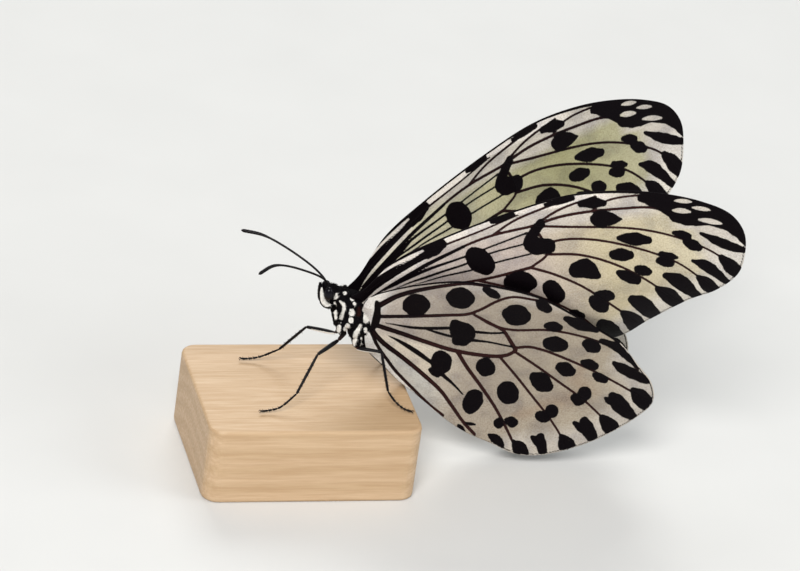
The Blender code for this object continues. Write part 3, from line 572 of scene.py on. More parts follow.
# %% Hindwing marks
HINDWING_MARKS = {
    "space_7": ((5.7, -7.3, 2.1), (6.6, -7.8, 2.1)),
    "space_7_middle": ((12.5, -11.8, 2.1), (13.7, -12.0, 2.1)),
    "space_7_outer": ((16.8, -15.5, 0.8), (19.0, -14.7, 0.9)),
    "cell": ((14.8, -4.6, 1.2), (16.4, -3.3, 2.0), (17.1, -3.2, 2.0), (16.4, -1.3, 1.2), (17.5, -1.4, 1.1)),
    "space_6": ((23.7, -10.7, 2.1), (25.0, -10.8, 2.1)),
    "space_6_front": ((27.1, -15.3, 0.8), (28.7, -14.4, 1.3)),
    "space_6_outer": ((33.2, -12.8, 0.5), (35.8, -12.0, 1.1), (39.8, -11.3, 0.4)),
    "space_5": ((31.1, -9.8, 1.0), (32.6, -10.0, 1.0)),
    "space_5_rear": ((32.9, -5.4, 1.5), (34.8, -5.6, 1.5)),
    "space_4": ((37.0, -0.1, 1.2), (38.7, 0.3, 1.3)),
    "space_3": ((33.7, 4.0, 1.6), (35.7, 4.9, 1.6)),
    "space_2": ((23.2, 3.8, 1.6), (23.9, 3.9, 1.6)),
    "space_2_outer": ((29.1, 8.3, 1.8), (30.0, 8.9, 2.0)),
    "space_1": ((15.1, 4.7, 1.9), (15.5, 5.2, 1.9)),
    "space_1_rear": ((14.2, 7.4, 0.6), (15.4, 7.9, 0.8)),
    "space_1_outer": ((24.2, 11.1, 1.3), (23.9, 12.8, 2.1)),
    "double_1": ((39.6, -7.3, 1.2), (41.0, -6.9, 1.3)),
    "double_2_front": ((40.5, -2.6, 0.7), (42.5, -2.3, 1.1)),
    "double_2": ((43.8, 0.1, 0.7), (45.5, 0.5, 1.0)),
    "double_3_front": ((43.3, 4.9, 1.3), (43.5, 5.0, 1.3)),
    "double_3": ((42.2, 6.6, 1.0), (43.2, 6.8, 1.0)),
    "double_4_front": ((38.9, 10.7, 1.2), (39.1, 10.7, 1.2)),
    "double_4": ((37.2, 12.3, 1.0), (38.3, 12.5, 1.0)),
    "double_5_front": ((32.2, 15.1, 1.0), (32.9, 15.0, 0.9)),
    "double_5": ((30.2, 16.0, 0.9), (30.5, 16.0, 0.9)),
    "edge": ((41.6, -9.0, 0.5), (45.3, -8.1, 0.9), (48.4, -6.1, 0.8), (51.8, -4.1, 0.35)),
    "drop_1": ((46.0, -4.0, 0.5), (47.9, -3.2, 1.0), (51.0, -2.2, 0.95), (53.4, -1.5, 0.65)),
    "drop_2": ((48.6, 4.0, 0.8), (50.4, 5.5, 1.5), (54.1, 7.9, 0.8)),
    "drop_2_lobe": ((47.7, 5.0, 0.5), (49.5, 5.5, 0.9)),
    "drop_3": ((45.7, 11.4, 0.9), (47.0, 13.0, 1.3), (49.1, 15.4, 0.8)),
    "drop_3_lobe": ((44.1, 12.3, 0.5), (46.1, 13.3, 0.8)),
    "drop_4": ((39.0, 17.3, 0.9), (39.8, 18.8, 1.0), (40.9, 20.9, 0.7)),
    "drop_4_lobe": ((37.6, 17.5, 0.5), (39.0, 18.5, 0.8)),
    "drop_5": ((29.4, 19.0, 0.3), (31.3, 19.8, 0.9), (32.4, 20.7, 0.6)),
    "bulb_1": ((51.8, 1.6, 0.6), (53.9, 3.0, 1.6), (55.8, 4.4, 1.2)),
    "bulb_2": ((48.6, 9.7, 0.6), (50.8, 11.3, 1.5), (52.3, 12.3, 1.1)),
    "bulb_3": ((42.8, 16.1, 0.5), (44.4, 17.7, 1.6), (45.2, 18.6, 1.5)),
    "bulb_4": ((34.6, 19.5, 0.5), (36.2, 20.8, 1.4), (37.0, 21.4, 1.2)),
    "bulb_5": ((23.4, 18.6, 0.5), (24.4, 19.4, 0.6)),
    "bulb_6": ((24.6, 17.6, 0.35), (26.1, 17.4, 0.25)),
    "root": ((-0.9, -6.0, 0.3), (-0.3, -4.2, 0.7), (0.2, -2.4, 0.9), (0.5, -0.9, 0.8), (0.5, 0.5, 0.6),
             (-0.3, 1.6, 0.55)),
    "inner_edge": ((1.5, 6.6, 0.25), (2.9, 7.6, 0.3), (4.8, 8.8, 0.3), (7.4, 10.6, 0.22),
                   (9.4, 11.9, 0.18), (12.7, 13.6, 0.16), (17.7, 16.4, 0.12)),
    "root_front": ((-3.6, -5.5, 0.35), (-3.2, -3.4, 0.5), (-2.8, -1.2, 0.7), (-2.4, 0.6, 0.8)),
    "cell_fold_1": ((2.3, -1.4, 0.1), (7.6, -1.8, 0.27), (11.3, -2.8, 0.3), (14.2, -3.8, 0.3)),
    "cell_fold_2": ((9.1, -2.2, 0.12), (12.1, -1.9, 0.25), (14.9, -1.7, 0.25)),
    "cell_fold_3": ((18.4, -4.1, 0.3), (21.6, -4.7, 0.22), (23.8, -5.4, 0.2)),
    "cell_fold_4": ((18.7, -1.9, 0.32), (22.2, -2.4, 0.2), (26.9, -2.4, 0.18)),
    "long_fold": ((3.8, 1.5, 0.08), (6.4, 2.3, 0.32), (9.8, 3.7, 0.46), (13.7, 5.6, 0.36)),
    "long_fold_outer": ((15.9, 7.5, 0.42), (18.8, 9.2, 0.27), (21.7, 11.3, 0.14)),
}
HINDWING_PALE = {
    "root_band": ((-2.1, -6.2, 0.55), (-1.6, -4.0, 0.84), (-1.1, -1.8, 0.8), (-0.7, 0.0, 0.7)),
}
print("hindwing marks:", len(HINDWING_MARKS), "dark and", len(HINDWING_PALE), "pale")

# %% [markdown]
# ## How the wings are set on the body
# At rest the wings stand half closed over the back. Three angles turn each wing's flat plan: how far it
# spreads from the body, how far its front edge rises, and how far it twists about that edge.
# The skin isn't flat either: the forewing's rear part curves inwards, and the hindwing hugs the body.

# %% Hinges, angles and bows
# Each wing: where it hinges, its three angles in degrees, and which outline points end the front edge and
# the outer edge. The front edge's dark band is given as (out, width), and the last row shapes the spots.
FOREWING = {
    "hinge": (9.4, -2.36, 34.94), "angles": (15.5, 20.6, -1.3), "outline": FOREWING_OUTLINE,
    "veins": FOREWING_VEINS, "marks": FOREWING_MARKS, "pale": FOREWING_PALE,
    "costa_ends": 10, "termen_ends": 17,
    "costa_line": ((-3, 1.4), (5, 1.35), (11, 1.15), (15, 0.9), (17, 0.3), (40, 0.3), (55, 0.6),
                   (62, 0.9), (67, 1.3), (70, 1.0)),
    "slant": 0.08, "squeeze": 0.83, "rear_squeeze": 0.0135, "white_fringe": False,
}
HINDWING = {
    "hinge": (10.55, -3.3, 30.2), "angles": (6.64, -10.4, -9.15), "outline": HINDWING_OUTLINE,
    "veins": HINDWING_VEINS, "marks": HINDWING_MARKS, "pale": HINDWING_PALE,
    "costa_ends": 11, "termen_ends": 20,
    "costa_line": ((-3, 0.1), (5, 0.3), (20, 0.4), (40, 0.38), (50, 0.34), (56, 0.3)),
    "slant": -0.18, "squeeze": 0.77, "rear_squeeze": 0.0, "white_fringe": True,
}


def forewing_bow(plan):
    """How far the middle surface bows outwards at each place of the plan, here inwards at the rear."""
    low = np.maximum(plan[:, 1], 0.0)
    return -0.011 * low ** 2 - 0.00012 * low ** 3


def hindwing_bow(plan):
    """Outwards at both edges, and inwards near the root, where the wing hugs the body."""
    root = np.maximum(0.0, 2.0 - plan[:, 0])
    stem = np.maximum(0.0, 1.0 - np.abs(plan[:, 1]) / 4.0)
    return 0.005 * plan[:, 1] ** 2 - 0.12 * plan[:, 1] - 0.12 * stem * root ** 2


FOREWING["bow"], HINDWING["bow"] = forewing_bow, hindwing_bow
print("angles of the wings:", FOREWING["angles"], HINDWING["angles"])


# %% From the plan to places
def wing_axes(angles):
    """Three directions of the left wing: out to its tip, across to its rear edge, and outwards."""
    spread, rise, twist = np.radians(angles)
    out = np.array([math.cos(rise) * math.cos(spread), -math.sin(spread), math.sin(rise) * math.cos(spread)])
    across = np.array([math.sin(rise), 0.0, -math.cos(rise)])
    outward = np.cross(across, out)
    return (out, across * math.cos(twist) + outward * math.sin(twist),
            outward * math.cos(twist) - across * math.sin(twist))


def wing_places(wing, plan, lift):
    """Places of the left wing's plan points, lifted off its bowed middle surface towards the outside."""
    out, across, outward = wing_axes(wing["angles"])
    height = wing["bow"](plan) + lift
    return np.array(wing["hinge"]) + plan[:, :1] * out + plan[:, 1:2] * across + height[:, None] * outward


tip = wing_places(FOREWING, np.array([[70.1, -1.2]]), np.zeros(1))
print("left forewing's tip at", np.round(tip[0], 1), "mm")

# %% The flat sheet, cut along its edge
WING_CELL = 0.25
EDGE_SLACK = 0.3 * WING_CELL
RIM_STEP = 0.7
print("the sheet's cells are", WING_CELL, "mm wide, and the rim's points lie", RIM_STEP, "mm apart")


# %% Distance to the rim
def nearest_on_rim(points, rim):
    """Distance to the rim, the place there, and how far along the rim it is, counted in rim points."""
    away = np.full(len(points), np.inf)
    nearest = np.zeros_like(points)
    along = np.zeros(len(points))
    for i, start in enumerate(rim):
        span = rim[(i + 1) % len(rim)] - start
        part = np.clip(((points - start) @ span) / (span @ span), 0.0, 1.0)
        place = start + part[:, None] * span
        reach = np.linalg.norm(points - place, axis=1)
        closer = reach < away
        away[closer], nearest[closer], along[closer] = reach[closer], place[closer], i + part[closer]
    return away, nearest, along


def inside_rim(points, rim):
    """Whether each point lies inside: a line from it to one side crosses the rim an odd number of times."""
    inside = np.zeros(len(points), bool)
    for start, end in zip(rim, np.roll(rim, -1, 0)):
        if start[1] != end[1]:
            crossing = (start[1] > points[:, 1]) != (end[1] > points[:, 1])
            reach = start[0] + (points[:, 1] - start[1]) * (end[0] - start[0]) / (end[1] - start[1])
            inside ^= crossing & (points[:, 0] < reach)
    return inside


def depth_in_rim(points, rim):
    """Distance to the rim, below zero outside it, and the nearest place on the rim."""
    away, nearest, _ = nearest_on_rim(points, rim)
    return np.where(inside_rim(points, rim), 1, -1) * away, nearest


rim = smooth_line(FOREWING_OUTLINE, RIM_STEP)
print("the forewing's hinge lies", round(float(depth_in_rim(np.zeros((1, 2)), rim)[0][0]), 2),
      "mm inside its rim")


# %% Cutting the sheet
def cut_sheet(rim):
    """A grid of small triangles in the plan, cut along the rim and pulled onto it."""
    low, high = rim.min(0) - WING_CELL, rim.max(0) + WING_CELL
    steps = np.ceil((high - low) / WING_CELL).astype(int)
    size = steps * WING_CELL
    bpy.ops.object.select_all(action="DESELECT")
    bpy.ops.mesh.primitive_grid_add(x_subdivisions=int(steps[0]), y_subdivisions=int(steps[1]), size=1.0,
                                    location=(*(low + size / 2), 0.0))
    sheet = bpy.context.object
    sheet.scale = (*size, 1.0)
    bpy.ops.object.transform_apply()
    bpy.ops.object.mode_set(mode="EDIT")
    bpy.ops.mesh.quads_convert_to_tris(quad_method="FIXED")
    bpy.ops.mesh.select_all(action="DESELECT")
    bpy.ops.mesh.select_mode(type="FACE")
    bpy.ops.object.mode_set(mode="OBJECT")
    depth, _ = depth_in_rim(coordinates(sheet)[:, :2], rim)
    corners = np.empty(len(sheet.data.polygons) * 3, int)
    sheet.data.polygons.foreach_get("vertices", corners)
    outside = (depth[corners.reshape(-1, 3)] < EDGE_SLACK).all(1)
    sheet.data.polygons.foreach_set("select", outside)
    bpy.ops.object.mode_set(mode="EDIT")
    bpy.ops.mesh.delete(type="FACE")
    bpy.ops.object.mode_set(mode="OBJECT")
    places = coordinates(sheet)
    depth, nearest = depth_in_rim(places[:, :2], rim)
    edge = depth < EDGE_SLACK
    places[edge, :2] = nearest[edge]
    set_coordinates(sheet, places)
    return sheet


print("triangles with all corners less than", round(EDGE_SLACK, 3), "mm inside the rim are cut off")

# %% [markdown]
# ## Painting the wings with distances
# Colour could be painted face by face, but then every spot would have a stepped edge. Instead each vertex
# keeps how deep it lies inside the dark pattern, in millimetres, and the finish turns dark where that
# number passes zero. The line between dark and pale then runs smoothly through the triangles.

# %% How the marks are measured
VEIN_LINE_STEP = 0.8
MARK_SPREAD, THICK_MARK = 0.03, 0.6
FRINGE = 0.2
EDGE_LINE_IN, EDGE_LINE_HALF = 0.3, 0.12
OUTSIDE, FAR_INSIDE = -99.0, 99.0
SQUEEZE_STARTS = 4.0
CORNER_POINTS = 6.0


def squeezed(wing, plan):
    """The plan as the spots' depths are measured in it."""
    low = np.maximum(plan[:, 1] - SQUEEZE_STARTS, 0.0)
    plan = plan.copy()
    plan[:, 0] += wing["slant"] * plan[:, 1]
    plan[:, 1] = wing["squeeze"] * plan[:, 1] - wing["rear_squeeze"] * low ** 2
    return plan


def wobble(plan):
    """A small swing of the marks' edges, so that no two spots are quite alike."""
    out, across = plan[:, 0], plan[:, 1]
    return (0.045 * np.sin(2.1 * out + 1.3 * across + 1.3 * np.sin(1.1 * across))
            + 0.03 * np.sin(1.3 * out - 2.7 * across + 1.1 * np.sin(2.3 * out))
            + 0.015 * np.sin(6.1 * out + 4.3 * across))


swing = wobble(np.array([[30.0, 0.0]]))
print("at the wing's middle the marks' edges swing by", round(float(swing[0]), 3), "mm")


# %% The whole dark pattern
def dark_depth(wing, plan, rim, corners):
    """Depth in the whole dark pattern, in the veins and in the marks, and distance to the outer edge."""
    away, _, along = nearest_on_rim(plan, rim)
    seen = squeezed(wing, plan)
    vein = np.full(len(plan), OUTSIDE)
    for root, end, *places in wing["veins"].values():
        line = smooth_line(places, VEIN_LINE_STEP)
        chain = squeezed(wing, np.column_stack([line, np.linspace(root, end, len(line))]))
        vein = np.maximum(vein, chain_depth(seen, chain))
    mark = np.full(len(plan), OUTSIDE)
    swing = wobble(plan) + MARK_SPREAD
    for chain in wing["marks"].values():
        thick = max(place[-1] for place in chain) > THICK_MARK
        mark = np.maximum(mark, swing * thick + chain_depth(seen, squeezed(wing, rounded(chain))))
    front = along < corners[0]
    outer = (along >= corners[0]) & (along < corners[1])
    band = np.interp(plan[:, 0], *zip(*wing["costa_line"]))
    mark = np.where(front, np.maximum(mark, band - away), mark)
    depth = np.maximum(vein, mark)
    for chain in wing["pale"].values():
        depth = np.minimum(depth, -MARK_SPREAD - chain_depth(seen, squeezed(wing, rounded(chain))))
    edge_line = EDGE_LINE_HALF - np.abs(away - EDGE_LINE_IN)
    depth = np.where(outer, np.maximum(depth, edge_line), depth)
    if wing["white_fringe"]:
        depth = np.where(outer & (away < FRINGE), np.minimum(depth, away - FRINGE), depth)
    inward = np.minimum(along - corners[0], corners[1] - along)
    past_corner = RIM_STEP * np.maximum(0.0, CORNER_POINTS - inward)
    return depth, vein, mark, np.where(outer, away + past_corner, FAR_INSIDE)


print("the outer edge's thin line lies", EDGE_LINE_IN, "mm in and is", 2 * EDGE_LINE_HALF, "mm wide")

# %% [markdown]
# The pale base colour isn't even either: white at the root, along the front edge and between the edge
# marks, pinkish grey in the middle of the forewing, straw towards its tip, and sandy on the hindwing. The
# inner sides are greener. Each vertex keeps its own base colour, read from a short row of colours from
# the root to the tip.

# %% Base colours
BASE_STOPS = {
    "forewing": (-3.0, 3.0, 12.0, 30.0, 45.0, 62.0, 70.0),
    "hindwing": (-3.0, -0.8, 2.0, 12.0, 30.0, 45.0, 56.0),
}
BASE = {
    ("forewing", 0): ((0.82, 0.78, 0.72), (0.70, 0.64, 0.60), (0.62, 0.55, 0.51), (0.61, 0.53, 0.48),
                      (0.65, 0.58, 0.40), (0.72, 0.66, 0.49), (0.78, 0.74, 0.66)),
    ("forewing", 1): ((0.82, 0.79, 0.68), (0.78, 0.75, 0.60), (0.75, 0.72, 0.54), (0.56, 0.54, 0.35),
                      (0.42, 0.41, 0.23), (0.52, 0.50, 0.34), (0.68, 0.66, 0.56)),
    ("hindwing", 0): ((0.88, 0.87, 0.85), (0.88, 0.87, 0.84), (0.56, 0.51, 0.46), (0.46, 0.41, 0.35),
                      (0.45, 0.395, 0.32), (0.49, 0.43, 0.34), (0.60, 0.55, 0.47)),
    ("hindwing", 1): ((0.66, 0.64, 0.52), (0.64, 0.62, 0.50), (0.58, 0.56, 0.42), (0.52, 0.50, 0.35),
                      (0.50, 0.48, 0.34), (0.54, 0.52, 0.38), (0.66, 0.64, 0.54)),
}
# Each wash: its colour and how strongly it covers the base colour at most.
TIP_WHITE, STREAK_WHITE = ((0.69, 0.65, 0.60), 0.85), ((0.97, 0.92, 0.86), 0.9)
HIND_FRONT_WHITE, BROWN_DUST = ((0.69, 0.65, 0.60), 0.6), ((0.36, 0.25, 0.17), 0.42)
REAR_CREAM, REAR_GREY = ((0.88, 0.82, 0.69), 0.6), ((0.60, 0.61, 0.58), 0.9)
REAR_WHITE = (0.82, 0.82, 0.80), 0.9
EDGE_WHITE = {"forewing": ((0.80, 0.77, 0.71), 0.85), "hindwing": ((0.64, 0.60, 0.54), 0.85)}
DUST_DEPTH, DUST_SPREAD, GAP_DEPTHS = 11.5, 2.0, (6.5, 2.5)
print("base colours:", sum(len(row) for row in BASE.values()))


# %% Washes over the base colour
def behind_vein(veins, name, plan):
    """How far each place lies behind a vein, across the wing."""
    return plan[:, 1] - np.interp(plan[:, 0], *zip(*veins[name][2:]))


def forewing_washes(plan):
    """White on the tip, on the streaks near the root and on the strip in front of the first vein."""
    out, across = plan.T
    tip_start = 57.0 + 3.5 * ramp(across, -4.5, -3.5)
    tip = ramp(out - tip_start, 0.0, 3.0, TIP_WHITE[1]) * ramp(across, 8.0, 7.0)
    streaks = ramp(out, 14.0, 11.0, STREAK_WHITE[1]) * ramp(across + 0.43 * out, -0.3, -1.3)
    strip = ramp(behind_vein(FOREWING_VEINS, "subcosta", plan), 0.0, -0.3, STREAK_WHITE[1])
    strip = strip * ramp(out, 14.0, 16.0) * ramp(out, 50.0, 46.0)
    return [(np.maximum(tip, ramp(across, -7.5, -10.0, TIP_WHITE[1])), TIP_WHITE),
            (np.maximum(streaks, strip), STREAK_WHITE)]


def hindwing_washes(plan, edge):
    """Brown dust between the outer spots, white in front, and cream, grey and white rays behind the root."""
    out, across = plan.T
    rays = ramp(out, 21.0, 13.0)
    return [(BROWN_DUST[1] * np.exp(-((edge - DUST_DEPTH) / DUST_SPREAD) ** 2), BROWN_DUST),
            (ramp(across, -13.5, -16.5, HIND_FRONT_WHITE[1]), HIND_FRONT_WHITE),
            (rays * ramp(across, 1.0, 3.0, REAR_CREAM[1]), REAR_CREAM),
            (rays * ramp(behind_vein(HINDWING_VEINS, "anal_1", plan), 0.0, 0.6, REAR_GREY[1]), REAR_GREY),
            (rays * ramp(behind_vein(HINDWING_VEINS, "anal_2", plan), 0.0, 0.4, REAR_WHITE[1]), REAR_WHITE)]


def base_colour(word, plan, upper, edge):
    """The base colour at each place: a row from root to tip, then the washes and the white gaps."""
    stops = BASE_STOPS[word]
    sides = [np.column_stack([np.interp(plan[:, 0], stops, shade) for shade in zip(*BASE[word, side])])
             for side in (0, 1)]
    made = np.where((upper == 1)[:, None], sides[1], sides[0])
    washes = forewing_washes(plan) if word == "forewing" else hindwing_washes(plan, edge)
    gaps = ramp(edge, *GAP_DEPTHS, EDGE_WHITE[word][1])
    for amount, (colour, _) in [*washes, (gaps, EDGE_WHITE[word])]:
        made += amount[:, None] * (np.array(colour) - made)
    return made


sample = base_colour("forewing", np.array([[30.0, 0.0]]), np.zeros(1, int), np.array([FAR_INSIDE]))
print("base colour in the forewing's middle:", np.round(sample[0], 2))

# %% [markdown]
# ## Thickness and veins
# The real skin is thinner than paper. Ours is 0.16 mm, so that it has two sides and a rim: Solidify adds
# the inner side. The veins are fine tubes: a curve with a round section becomes a mesh, and is joined to
# the skin, from which it stands out on both sides as the real veins do. Last, the wing gets a flat map of
# its plan, with the outer side in one half and the inner side in the other.

# %% Veins as tubes
VEIN_TUBE = (0.21, 0.11)
VEIN_TUBE_STEP, VEIN_TUBE_TAPER = 0.6, 45.0
FULL_VEIN = 0.24


def vein_tubes(wing):
    """One mesh of all the wing's veins, thick at the root and fine at the edge."""
    lines = []
    for root, _, *places in wing["veins"].values():
        plan = smooth_line(places, VEIN_TUBE_STEP)
        radii = VEIN_TUBE[0] + (VEIN_TUBE[1] - VEIN_TUBE[0]) * ramp(plan[:, 0], 0.0, VEIN_TUBE_TAPER)
        middle = wing_places(wing, plan, np.zeros(len(plan)))
        lines.append(np.column_stack([middle, radii * min(1.0, root / FULL_VEIN)]))
    return tubes(lines, 1)


print("radii of the vein tubes at the root and at the edge, in mm:", VEIN_TUBE)

# %% A flat map for each wing
MAP_SIZE, MAP_MARGIN, HALF_MAP = 82.0, 1.0, 0.5
RIM_STRIP = 0.3
UPPER_SHARE = 0.6


def lay_out(piece, plan, upper):
    """A flat map of the plan, one half for each side. The rim becomes a thin strip round the outer side."""
    mesh = piece.data
    corners = np.empty(len(mesh.loops), int)
    mesh.loops.foreach_get("vertex_index", corners)
    totals = np.empty(len(mesh.polygons), int)
    mesh.polygons.foreach_get("loop_total", totals)
    face = np.repeat(np.arange(len(totals)), totals)
    face_upper = (np.bincount(face, upper[corners]) / totals > UPPER_SHARE)[face]
    across_rim = (upper[corners] == 1) & ~face_upper
    spread = plan - plan.mean(0)
    spread /= np.linalg.norm(spread, axis=1, keepdims=True)
    place = plan[corners] + np.where(across_rim[:, None], spread[corners] * RIM_STRIP, 0.0)
    place = (place - plan.min(0) + MAP_MARGIN) / MAP_SIZE
    place[:, 1] += HALF_MAP * face_upper
    mesh.uv_layers.new(name="OFBake").data.foreach_set("uv", place.ravel())


print("a whole map is", MAP_SIZE, "mm wide")

# %% One wing
SKIN_THICKNESS = 0.16
SKIN_SWELL, SWELL_REACH, SWELL_MARGIN = 0.16, 1.2, 2.0
VEIN_DARK = 0.25
# Veins turn brown where no mark covers them, less near the root and less on the inner side.
MARK_REACH, BROWN_RAMP, ROOT_BROWN, INNER_BROWN = -0.3, (2.0, 18.0), 0.25, 0.5
# The finish keeps the two sides' patterns apart by a third number beside the plan.
UNDER_SIDE, UPPER_SIDE = 0.0, 40.0


def make_wing(word, wing):
    """The left wing: the cut sheet bowed and thickened, its veins, its numbers for the finish and its map."""
    rim = smooth_line(wing["outline"], RIM_STEP)
    corners = np.array(wing["outline"], float)[[wing["costa_ends"], wing["termen_ends"]]]
    ends = nearest_on_rim(corners, rim)[2]
    sheet = cut_sheet(rim)
    plan = coordinates(sheet)[:, :2].copy()
    pattern = dark_depth(wing, plan, rim, ends)
    away = nearest_on_rim(plan, rim)[0]
    off_vein = 1.0 - np.exp(np.minimum(pattern[1], 0.0) / SWELL_REACH)
    swell = SKIN_SWELL * off_vein * ramp(away, 0.0, SWELL_MARGIN)
    set_coordinates(sheet, wing_places(wing, plan, swell + SKIN_THICKNESS / 2))
    sheet.data.flip_normals()
    apply_modifier(sheet, "SOLIDIFY", thickness=SKIN_THICKNESS, offset=-1.0)
    veins = vein_tubes(wing)
    out, across, outward = wing_axes(wing["angles"])
    rest = coordinates(veins) - wing["hinge"]
    vein_plan = np.column_stack([rest @ out, rest @ across])
    vein_upper = (rest @ outward - wing["bow"](vein_plan) < 0.0).astype(int)
    vein_pattern = dark_depth(wing, vein_plan, rim, ends)
    only(sheet, veins)
    bpy.ops.object.join()
    flat = np.vstack([plan, plan, vein_plan])
    upper = np.concatenate([np.zeros(len(plan), int), np.ones(len(plan), int), vein_upper])
    depth, vein, mark, edge = [np.concatenate([values, values, more])
                               for values, more in zip(pattern, vein_pattern)]
    depth[2 * len(plan):] = np.maximum(depth[2 * len(plan):], VEIN_DARK)
    if word == "forewing":
        shade = np.minimum(chain_depth(flat, FOREWING_ROOT_SHADE), -chain_depth(flat, wing["pale"]["root"]))
        depth = np.where(upper == 1, np.maximum(depth, shade), depth)
    brown = (vein - np.maximum(mark, MARK_REACH)) * np.maximum(ramp(flat[:, 0], *BROWN_RAMP), ROOT_BROWN)
    store(sheet, "dark", depth)
    store(sheet, "line", np.where(upper == 1, brown * INNER_BROWN, brown))
    store(sheet, "plan", np.column_stack([flat, np.where(upper == 0, UNDER_SIDE, UPPER_SIDE)]))
    store(sheet, "base", base_colour(word, flat, upper, edge))
    lay_out(sheet, flat, upper)
    return sheet


print("the skin is", SKIN_THICKNESS, "mm thick")

# %% The other side's wing
TUCK, TUCK_ACROSS, TUCK_OUT = 2.6, (-2.0, -7.0), (8.0, 1.0)


def mirrored_wing(wing):
    """The same wing on the other side of the body."""
    only(wing)
    bpy.ops.object.duplicate()
    copy = bpy.context.object
    set_coordinates(copy, coordinates(copy) * (1.0, -1.0, 1.0))
    copy.data.flip_normals()
    return copy


def tuck_in(piece, wing):
    """Draws the front of the right hindwing's root further under its forewing."""
    across = wing_axes(wing["angles"])[1] * (1.0, -1.0, 1.0)
    plan = np.empty(len(piece.data.vertices) * 3)
    piece.data.attributes["plan"].data.foreach_get("vector", plan)
    out, width, _ = plan.reshape(-1, 3).T
    pull = TUCK * ramp(width, *TUCK_ACROSS) * ramp(out, *TUCK_OUT)
    set_coordinates(piece, coordinates(piece) + pull[:, None] * across)


print("the right hindwing's front is drawn", TUCK, "mm further in")

# %% [markdown]
# ## The wings' finish
# Tiny scales cover the skin like tiles. Outside, the wing is a pinkish cream, and inside, which shows on
# the far wing, it is greener. Noise in the plan makes soft bluish grey clouds, which are painted shade of
# the other wings' dark spots showing through the thin skin together with dust, then rows of scales and a
# ragged edge to the marks. The dark scales are black with a little purple brown, and have a soft gloss.

# %% Wing scales
# The bluish grey tint is painted shade of the other wings' dark spots seen through the thin skin, mixed with
# dust.
SEE_THROUGH_SHADE_AND_DUST, GREY_MOTTLE = (0.78, 0.8, 0.86, 1), (0.74, 0.71, 0.68, 1)
DUST_TINT, SCALE_SHADE = (0.5, 0.36, 0.27, 1), (0.8, 0.77, 0.74, 1)
BLACKS = (0.0004, 0.0002, 0.0006, 1), (0.005, 0.0025, 0.004, 1)
MAROONS = (0.01, 0.0025, 0.003, 1), (0.045, 0.015, 0.014, 1)


def wing_finish():
    finish, tree, shader = new_finish("wing_scales", 0.6, Specular_IOR_Level=0.05)
    plan = add_node(tree, "ShaderNodeAttribute", attribute_name="plan").outputs["Vector"]
    base = add_node(tree, "ShaderNodeAttribute", attribute_name="base").outputs["Color"]
    clouds = noise(tree, plan, 0.22, 3.0)
    grains = noise(tree, plan, 6.0, 2.0, 0.7)
    tiles = add_node(tree, "ShaderNodeMapping", {"Vector": plan, "Scale": (4.5, 9.0, 1.0)}).outputs["Vector"]
    scales = add_node(tree, "ShaderNodeTexVoronoi", {"Vector": tiles, "Scale": 1.0}).outputs["Distance"]
    # Soft bluish grey clouds: painted see-through shade of the other wings' spots, together with dust.
    pale = mixed(tree, fade(tree, clouds, 0.4, 0.72), base, tinted(tree, base, SEE_THROUGH_SHADE_AND_DUST))
    mottles = fade(tree, noise(tree, plan, 3.2, 2.0, 0.8), 0.42, 0.7)
    pale = mixed(tree, mottles, pale, tinted(tree, pale, GREY_MOTTLE))
    dust = sums(tree, "MULTIPLY", fade(tree, grains, 0.52, 0.7), fade(tree, clouds, 0.42, 0.62, 0.25, 1.0))
    pale = mixed(tree, dust, pale, tinted(tree, base, DUST_TINT))
    pale = mixed(tree, fade(tree, scales, 0.2, 0.75, 0.0, 0.8), pale, tinted(tree, pale, SCALE_SHADE))
    black, maroon = mixed(tree, grains, *BLACKS), mixed(tree, grains, *MAROONS)
    dark = mixed(tree, fade(tree, number(tree, "line"), 0.0, 0.5), black, maroon)
    ragged = sums(tree, "ADD", number(tree, "dark"), fade(tree, grains, 0.25, 0.75, -0.06, 0.06))
    mask = fade(tree, ragged, -0.05, 0.05)
    tree.links.new(mixed(tree, mask, pale, dark), shader.inputs["Base Color"])
    tree.links.new(fade(tree, mask, 0.0, 1.0, 0.65, 0.52), shader.inputs["Roughness"])
    relief(tree, shader, sums(tree, "ADD", scales, grains), 0.00003)
    return finish


wing_scales = wing_finish()
print("finish:", wing_scales.name, "with", len(wing_scales.node_tree.nodes), "nodes")

# %% All four wings
for word, wing in (("forewing", FOREWING), ("hindwing", HINDWING)):
    left = make_wing(word, wing)
    right = mirrored_wing(left)
    if word == "hindwing":
        tuck_in(right, wing)
    for side, piece in (("left", left), ("right", right)):
        hand_over(piece, f"{word}_{side}_skin", wing_scales, "wing_scales", f"{word}_{side}")

# %% [markdown]
# ## Rods
# Legs, feelers, palps and the drinking tube are all round rods that taper and end in a rounded tip.
# A rod is a line of places with a radius beside each, and many rods become one mesh at once, as the
# veins did. Near each end the radius follows a quarter of a circle.

# %% A rod with rounded ends
END_STEPS = np.array((0.02, 0.15, 0.4, 0.7, 1.0))


def rod(points, radii, step=0.4):
    """Rows of place and radius along a smooth line, with a rounded tip at each end."""
    line = smooth_line(points, step)
    runs = np.concatenate([[0.0], np.cumsum(np.linalg.norm(np.diff(line, axis=0), axis=1))])
    length = runs[-1]
    stops = np.concatenate([runs[1:-1], radii[0] * END_STEPS, length - radii[-1] * END_STEPS])
    stops = np.unique(stops[(stops > 0.0) & (stops < length)])
    stops = np.concatenate([[0.0], stops, [length]])
    places = np.column_stack([np.interp(stops, runs, line[:, i]) for i in range(3)])
    width = np.interp(stops / length, np.linspace(0.0, 1.0, len(radii)), radii)
    for away, reach in ((stops, radii[0]), (length - stops, radii[-1])):
        width = width * np.sqrt(np.clip(1.0 - (1.0 - np.clip(away / reach, 0.0, 1.0)) ** 2, 0.001, 1.0))
    return np.column_stack([places, width])


def mirrored(point, side):
    """The point as it is for side 1, and on the other side of the body for side -1."""
    return (point[0], point[1] * side, *point[2:])


print("a rod 10 mm long has", len(rod(((0, 0, 0), (10, 0, 0)), (0.3, 0.2))), "rings")

